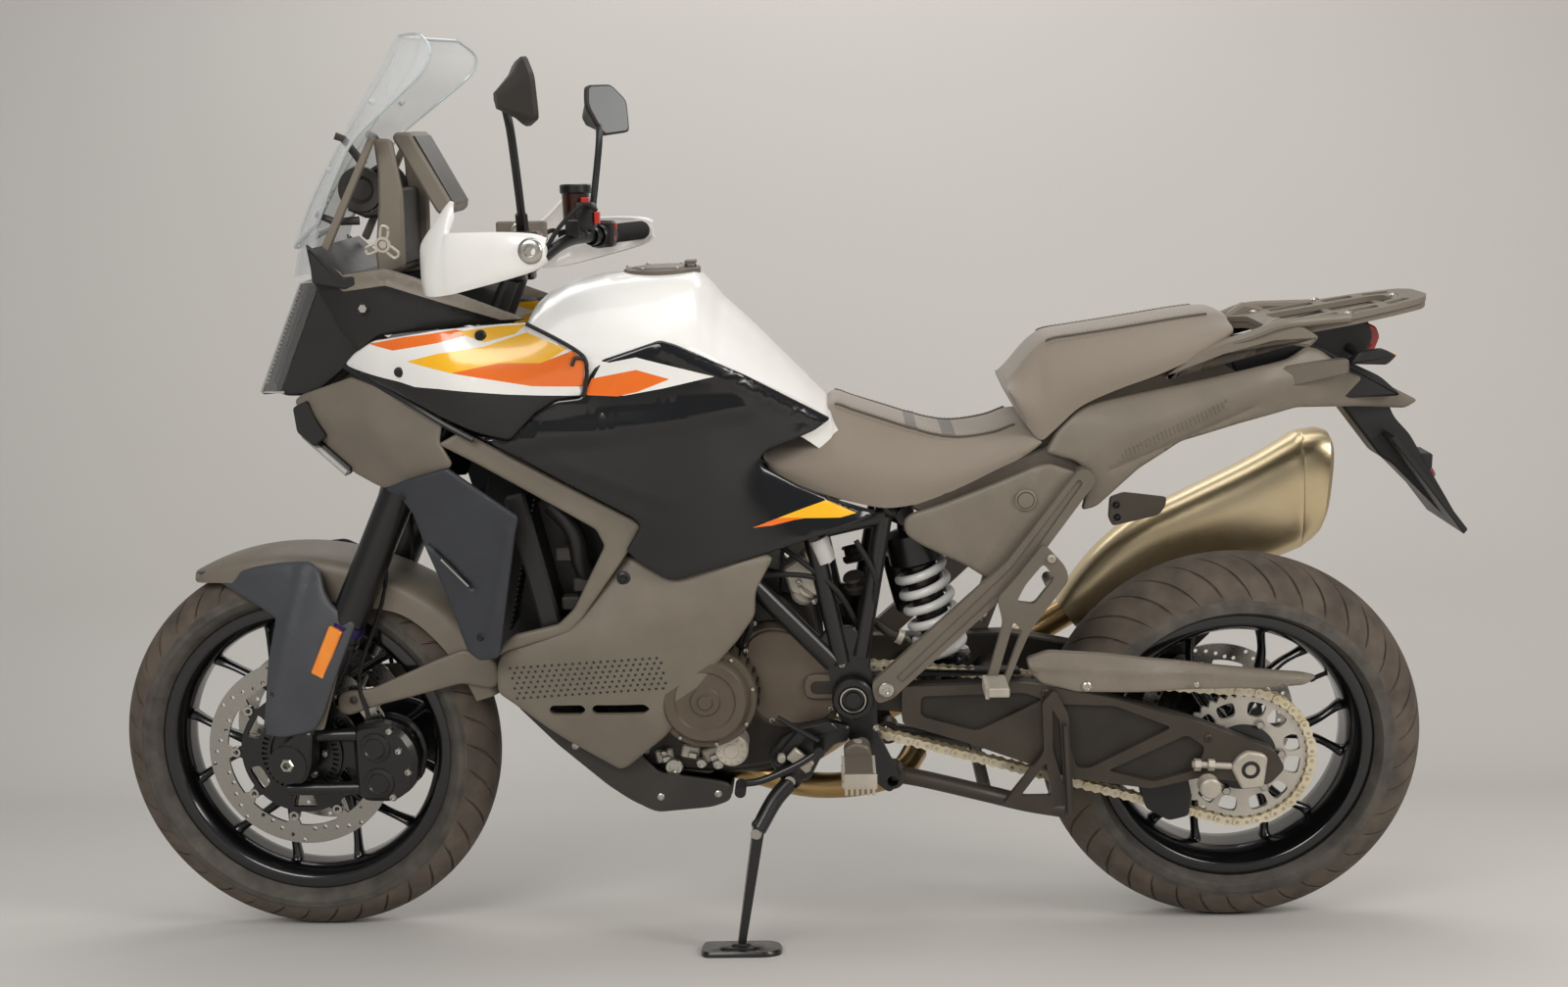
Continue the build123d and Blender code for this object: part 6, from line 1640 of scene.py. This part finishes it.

# Swingarm: each arm has a raised border round three hollow fields; the plate seen in the fields takes the
# darker black cast finish as painted shade.
rx, rz = axles["rearX"], axles["rearZ"]
armSide = [(1000, 464), (1200, 468), (rx - 227, 442), (rx - 77, 396), (rx + 42, rz + 26), (rx + 58, rz - 2),
           (rx + 33, rz - 30), (rx - 77, rz - 16), (rx - 157, rz - 34), (rx - 287, rz - 14), (1100, 370),
           (1000, 402)]
fields = [[(1030, 448), (1196, 452), (1226, 440), (1120, 388), (1030, 414)],
          [(1250, 432), (1340, 428), (1432, 390), (1300, 322), (1280, 324)],
          [(1330, 318), (1404, 298), (1474, 318), (1486, 356), (1456, 378)]]
parts = []
for way in (-1, 1):
    # the inner plate, seen through the fields, is darker black cast alloy: painted shade in the hollow fields
    add(parts, 3, plate(armSide, way * 122, way * 148, 9, 3))
    ring = cutPlate(softLoop(armSide, 9, 4), [softLoop(f, 9, 4) for f in fields], way * 147, way * 157)
    add(parts, 0, ring)
    add(parts, 0,
        plate([(894, 418), (1030, 405), (1030, 466), (985, 475), (894, 475)], way * 92, way * 118, 12, 3))
    hexBlock = plate([(rx - 31, rz + 3), (rx - 20, rz + 20), (rx - 6, rz + 30), (rx + 18, rz + 26),
                      (rx + 27, rz + 20), (rx + 22, rz - 30), (rx - 12, rz - 34)], way * 154, way * 168, 5, 3)
    add(parts, 1, hexBlock)
    add(parts, 2,
        spun([(168, 15), (169, 13), (169, 9), (160, 8.5), (160, 0.1)], (rx, 0, rz), 28, (0, way, 0)))
    add(parts, 1, tube([(rx - 92, way * 160, rz + 8), (rx - 30, way * 160, rz + 4)], 5.5, 12))
    for x in (rx - 84, rx - 62):
        add(parts, 1,
            spun([(-5, 0.1), (-5, 10), (5, 10), (5, 0.1)], (x, way * 160, rz + 7), 6, (1, 0, -0.06)))
    add(parts, 1,
        spun([(156, 7), (176, 7), (176, 17), (200, 17), (203, 14), (203, 0.1)], (rx - 70, 0, rz - 19), 28,
             (0, way, 0)))
    for x, z in ((1490, 372), (1140, 452), (1228, 452)):
        add(parts, 0, screwHeads([(x, way * 157, z)], 6.5, 4, (0, way, 0)))
for x, z, r in ((1032, 425, 32), (1165, 400, 30)):
    add(parts, 0, tube([(x, -122, z), (x, 122, z)], r, 28))
add(parts, 2, tube([(rx, -156, rz), (rx, 156, rz)], 12, 20))
guide = plate([(rx - 172, 292), (rx - 92, 296), (rx - 84, 262), (rx - 88, 226), (rx - 120, 218),
               (rx - 158, 240)], -128, -84, 7, 3)
add(parts, 2, guide)
slider = plate([(984, 486), (1010, 478), (1190, 478), (1196, 470), (1000, 466), (984, 470)], -118, -92, 3, 2)
add(parts, 2, slider)
finishMesh("swingArm", parts, ["armBlack", "castAlloy", "blackAbs", "castBlack"], replaces=("swingarm",))
bodyPanel("chainGuard",
          [(1200, 500), (1236, 512), (1333, 505), (1500, 484), (1640, 470), (1668, 463), (1650, 449),
           (1560, 444), (1417, 441), (1283, 442), (1225, 457), (1206, 480)],
          [(1200, 150, 500), (1236, 146, 512), (1225, 160, 457), (1420, 142, 494), (1417, 160, 441),
           (1668, 138, 463), (1640, 152, 450), (1400, 158, 468)],
          ["bronzeAbs"], plane=130.0, creases=[(1210, 486, 1640, 462, 3, 9)], corner=8, edge=5, wall=6,
          onlyLeft=True, replaces=("chain_guard",))
bolts = [screwHeads([(1294, -161, 462)], 8, 4), screwHeads([(1468, -160, 462)], 5, 3)]
finishMesh("chainGuardBolts", bolts, "silverBolt")

# Shock: a white coil on a black body, with its reservoir.
top, low = np.array([1012, -40, 722.0]), np.array([1092, -40, 414.0])
way = (low - top) / np.linalg.norm(low - top)
side = np.cross(way, (0, 1, 0))
spring = {"start": 86, "length": 168, "turns": 6.2, "radius": 38, "wire": 7.5}
t = np.linspace(0, 1, 220)
turns = t * 2 * math.pi * spring["turns"]
winding = np.array([0, 1.0, 0]) * np.cos(turns)[:, None] + side * np.sin(turns)[:, None]
coil = top + way * (spring["start"] + spring["length"] * t)[:, None] + spring["radius"] * winding
parts = [(*tube(coil, spring["wire"], 12), 0)]
add(parts, 1,
    spun([(0, 14), (24, 20), (30, 44), (78, 46), (84, 30), (86, 28), (250, 26), (254, 44), (262, 44),
          (266, 16), (312, 14), (318, 18)], top, 32, way, True))
add(parts, 1,
    spun([(0, 23), (6, 26), (96, 26), (102, 22), (102, 0.1)], (1000, 32, 640), 28, (0.25, 0, -1), True))
add(parts, 1, tube([(975, -40, 735), (1014, -40, 718)], 18, 20))
for at in (top, low):
    add(parts, 1, tube([at + (0, -26, 0), at + (0, 26, 0)], 15, 20))
finishMesh("rearShock", parts, ["springWhite", "frameBlack"], replaces=("shock",))
print("engine, subframe, swingarm and shock done")

# Footrests: serrated pegs on hinges, and the pillion's brackets.
parts = []
for way in (-1, 1):
    add(parts, 0, boxAt((928, way * 236, 356), (48, 82, 16)))
    add(parts, 1, boxAt((928, way * 236, 346), (54, 86, 8)))
    for y in np.arange(200, 276, 9.5):
        add(parts, 1, *[boxAt((x, way * y, 352), (5, 5.5, 26)) for x in (904, 952)])
    for x in np.arange(908, 952, 8.5):
        add(parts, 1, boxAt((x, way * 278, 338), (5, 4, 16)))
    add(parts, 1, boxAt((930, way * 278, 352), (52, 3, 24)))
    add(parts, 2,
        plate([(904, 372), (922, 384), (946, 378), (952, 352), (940, 336), (912, 338)], way * 166, way * 196,
              8, 3))
    add(parts, 2, tube([(936, way * 140, 362), (930, way * 172, 358)], 13, 16))
    add(parts, 1, tube([(928, way * 181, 340), (928, way * 181, 384)], 7, 14))
    bracket = [(1128, 458), (1160, 450), (1186, 520), (1204, 562), (1262, 640), (1258, 660), (1222, 700),
               (1180, 646), (1150, 612), (1160, 570)]
    window = [(1180, 606), (1208, 602), (1240, 644), (1222, 668), (1194, 634)]
    lowWindow = [(1150, 480), (1160, 476), (1190, 560), (1176, 574)]
    add(parts, 2,
        cutPlate(softLoop(bracket, 9, 4), [softLoop(window, 7, 4), softLoop(lowWindow, 4, 3)], way * 158,
                 way * 172))
    add(parts, 1, boxAt((1147, way * 200, 478), (34, 72, 15)))
    for y in np.arange(170, 234, 9.5):
        add(parts, 1, boxAt((1130, way * y, 476), (6, 5, 20)))
    add(parts, 2, tube([(1235, way * 116, 632), (1235, way * 168, 632)], 9, 14))
    add(parts, 1, screwHeads([(1234, way * 172, 676)], 7, 5, (0, way, 0)))
finishMesh("footRests", parts, ["bronzeMetal", "castAlloy", "bronzeMetal"], replaces=("footrests",))
gearLever = smoothPath([(866, -196, 372), (830, -204, 352), (776, -210, 330), (742, -214, 326)], 6)
parts = [(*tube(gearLever, 6, 12), 0), (*tube([(742, -214, 326), (742, -252, 326)], 9, 14), 1),
         (*tube([(866, -150, 372), (866, -204, 372)], 9, 14), 0),
         (*tube([(866, -184, 384), (800, -170, 420)], 4.5, 10), 0)]
brakeLever = smoothPath([(900, 206, 372), (850, 216, 340), (780, 222, 322), (740, 224, 320)], 6)
add(parts, 0, tube(brakeLever, 6, 12))
add(parts, 1, tube([(740, 216, 320), (740, 262, 320)], 9, 14))
finishMesh("footLevers", parts, ["frameBlack", "rubber"])

# Side stand: a tapered leg with its spring, and a dished foot that lies flat on the floor.
pivot = np.array([825.0, -178.0, 326.0])
foot = np.array([739.0, -278.0, 278.0 * math.tan(leanAngle)])
footUp = np.array([0.0, math.sin(leanAngle), math.cos(leanAngle)])
ankle = foot + footUp * 12
knee = np.array([768.0, -235.0, 257.0])
upper = smoothPath([pivot + (-8, -14, -9), (pivot + knee) / 2 + (-3, -2, 3), knee], 5)
lower = smoothPath([knee, (knee + ankle) / 2, ankle], 5)
parts = []
add(parts, 0, tube(upper, np.linspace(14, 13, len(upper)), 16))
add(parts, 0, tube(lower, np.linspace(12.5, 8.5, len(lower)), 4))
brace = [pivot + (-16, -12, -8), pivot + (-32, -30, -30), knee + (-6, -2, 8)]
add(parts, 0, tube(smoothPath(brace, 4), 6, 10))
add(parts, 1, spun([(-16, 0.1), (-16, 9), (16, 9), (16, 0.1)], knee, 18, (0.2, 0.95, 0.1)))
sole = [(-50, -37), (38, -39), (52, -22), (52, 24), (36, 39), (-46, 39), (-52, 20), (-52, -22)]
sole = softLoop(sole, 12, 4) * (1.22, 1.08)
across = np.cross(footUp, (1.0, 0, 0))
layers = ((1.0, 0.0), (1.0, 5.0), (0.96, 8.5), (0.62, 8.5), (0.55, 11.0), (0.3, 11.0), (0.22, 14.0))
rows = np.array([[foot + np.array([1.0, 0, 0]) * (u * s) - across * (v * s) + footUp * h for u, v in sole]
                 for s, h in layers])
n = rows.shape[1]
add(parts, 0, (rows, gridFaces(len(rows), n, wrapCols=True).tolist() + ringCaps(len(rows), n)))
add(parts, 0, spun([(-16, 0.1), (-16, 17), (6, 17), (6, 0.1)], pivot, 28, (0.25, 0.94, 0.1)))
add(parts, 1, spun([(-24, 0.1), (-24, 9), (-16, 10), (-16, 0.1)], pivot, 20, (0.25, 0.94, 0.1)))
finishMesh("sideStand", parts, ["frameBlack", "silverBolt"], "side_stand", replaces=("side_stand",))
bracket = plate([(782, 346), (800, 376), (838, 398), (880, 408), (918, 398), (912, 372), (893, 370),
                 (868, 345), (850, 308), (806, 304)], -158, -138, 8, 3)
horn = plate([(790, 342), (812, 372), (836, 400), (886, 410), (900, 396), (846, 384), (822, 356), (804, 332)],
             -166, -157, 6, 2)
parts = [(*bracket, 0), (*horn, 0), (*tube([(862, -80, 362), (862, -140, 362)], 14, 18), 0)]
finishMesh("standBracket", parts, ["frameBlack", "silverBolt"], replaces=("stand_bracket",))
parts = []
for x, z in ((846, 336), (806, 352)):
    add(parts, 1, spun([(150, 7), (176, 7), (178, 5.5), (178, 0.1)], (x, 0, z), 16, (0, -1, 0)))
add(parts, 1, boxAt((836, -176, 350), (40, 12, 22), yTurn(0.7)))
finishMesh("standPins", parts, ["frameBlack", "castAlloy"])

# Centre stand: two bent legs, a cross tube, and a foot with its web at the end of each leg.
parts = []
for way in (-1, 1):
    leg = smoothPath([(985, way * 106, 298), (1040, way * 108, 288), (1140, way * 124, 268),
                      (1200, way * 150, 262), (1262, way * 164, 256)], 6)
    add(parts, 0, tube(leg, 14, 16))
    add(parts, 0, spun([(-16, 12), (-16, 21), (16, 21), (16, 12)], (985, way * 106, 298), 24, (0, way, 0)))
    foot = cutPlate(softLoop([(1160, 268), (1226, 356), (1222, 440), (1242, 462), (1264, 420), (1276, 252),
                              (1262, 244)], 8, 4),
                    [softLoop([(1188, 282), (1230, 340), (1238, 282)], 6, 3),
                     softLoop([(1240, 360), (1238, 430), (1250, 410), (1258, 300)], 5, 3)], way * 161,
                    way * 173)
    add(parts, 0, foot)
    add(parts, 0, boxAt((1262, way * 174, 330), (7, 30, 150), yTurn(-0.06)))
add(parts, 0, tube([(1136, -124, 276), (1136, 124, 276)], 11, 16))
finishMesh("centreStand", parts, "armBlack", "centre_stand", replaces=("centre_stand",))
print("footrests and stands done")

studio = {"floor": "D2CFCA", "wallY": 2.3, "bend": 0.5, "key": 92, "fill": 25, "rim": 62, "back": 18,
          "world": 0.33}


def stagePiece(name, points, faces, colour, roughness):
    material, tree, shader, place = newMaterial(name)
    tint = mixed(tree, noise(tree, place, 1.3, 3.0), linear(colour),
                 (*(c * 0.96 for c in linear(colour)[:3]), 1.0))
    dress(tree, shader, {"Base Color": tint}, {"Roughness": roughness})
    # clear from behind, so that other cameras see the motorcycle
    side = addNode(tree, "ShaderNodeNewGeometry")
    through = addNode(tree, "ShaderNodeBsdfTransparent")
    either = addNode(tree, "ShaderNodeMixShader")
    ending = [node for node in tree.nodes if node.type == "OUTPUT_MATERIAL"][0]
    tree.links.new(side.outputs["Backfacing"], either.inputs[0])
    tree.links.new(shader.outputs[0], either.inputs[1])
    tree.links.new(through.outputs[0], either.inputs[2])
    tree.links.new(either.outputs[0], ending.inputs["Surface"])
    mesh = bpy.data.meshes.new(name)
    mesh.from_pydata(points, [], faces)
    mesh.materials.append(material)
    mesh.polygons.foreach_set("use_smooth", np.ones(len(mesh.polygons), bool))
    piece = bpy.data.objects.new(name, mesh)
    bpy.context.scene.collection.objects.link(piece)


wallY, bend = studio["wallY"], studio["bend"]
sweep = [(-6.0, 0.0), (wallY - bend, 0.0)]
for a in np.linspace(0.15, math.pi / 2, 10):
    sweep.append((wallY - bend + bend * math.sin(a), bend - bend * math.cos(a)))
sweep.append((wallY, 5.0))
sweepPoints = [(x, y, z) for y, z in sweep for x in (-7.0, 7.0)]
sweepFaces = [(2 * i, 2 * i + 1, 2 * i + 3, 2 * i + 2) for i in range(len(sweep) - 1)]
stagePiece("studioSweep", sweepPoints, sweepFaces, studio["floor"], 0.65)


def areaLamp(name, at, aim, size, power, colour=(1.0, 1.0, 1.0)):
    lamp = bpy.data.lights.new(name, "AREA")
    lamp.shape = "RECTANGLE"
    lamp.size, lamp.size_y = size
    lamp.energy = power
    lamp.color = colour
    thing = bpy.data.objects.new(name, lamp)
    thing.location = at
    thing.rotation_euler = (Vector(aim) - Vector(at)).to_track_quat("-Z", "Y").to_euler()
    bpy.context.scene.collection.objects.link(thing)


areaLamp("keyLamp", (-1.4, -3.8, 2.4), (-0.2, 0, 0.7), (2.4, 1.6), studio["key"], (1.0, 0.97, 0.93))
areaLamp("topLamp", (0.3, -0.2, 3.4), (0.1, 0.1, 0.6), (3.2, 1.2), studio["fill"], (1.0, 0.98, 0.95))
areaLamp("rearLamp", (2.9, -2.2, 2.0), (0.5, 0, 0.6), (1.2, 1.8), studio["rim"], (1.0, 0.95, 0.9))
areaLamp("backLamp", (-0.3, 1.9, 3.0), (0.0, 0.2, 0.7), (3.0, 0.8), studio["back"])
world = bpy.data.worlds.new("studioWorld")
world.use_nodes = True
world.node_tree.nodes["Background"].inputs["Color"].default_value = (0.8, 0.82, 0.86, 1.0)
world.node_tree.nodes["Background"].inputs["Strength"].default_value = studio["world"]
bpy.context.scene.world = world

yaw, pitch, roll = view["yaw"], view["pitch"], view["roll"]
ahead = np.array([math.sin(yaw) * math.cos(pitch), math.cos(yaw) * math.cos(pitch), math.sin(pitch)])
over = np.array([-math.sin(yaw) * math.sin(pitch), -math.cos(yaw) * math.sin(pitch), math.cos(pitch)])
level = np.array([math.cos(yaw), -math.sin(yaw), 0.0])
right = level * math.cos(roll) + over * math.sin(roll)
upward = -level * math.sin(roll) + over * math.cos(roll)
camera = bpy.data.cameras.new("studioCamera")
camera.sensor_width = 36.0
camera.lens = view["focalPx"] * camera.sensor_width / view["widthPx"]
eye = bpy.data.objects.new("studioCamera", camera)
place = (np.array(view["eye"]) + np.array(stance["shift"])) / 1000.0
columns = np.column_stack([right, upward, -ahead, place])
eye.matrix_world = Matrix([*columns.tolist(), (0, 0, 0, 1)])
bpy.context.scene.collection.objects.link(eye)
bpy.context.scene.camera = eye
bpy.context.scene.view_settings.view_transform = "Standard"
print("stage, lamps and camera ready")
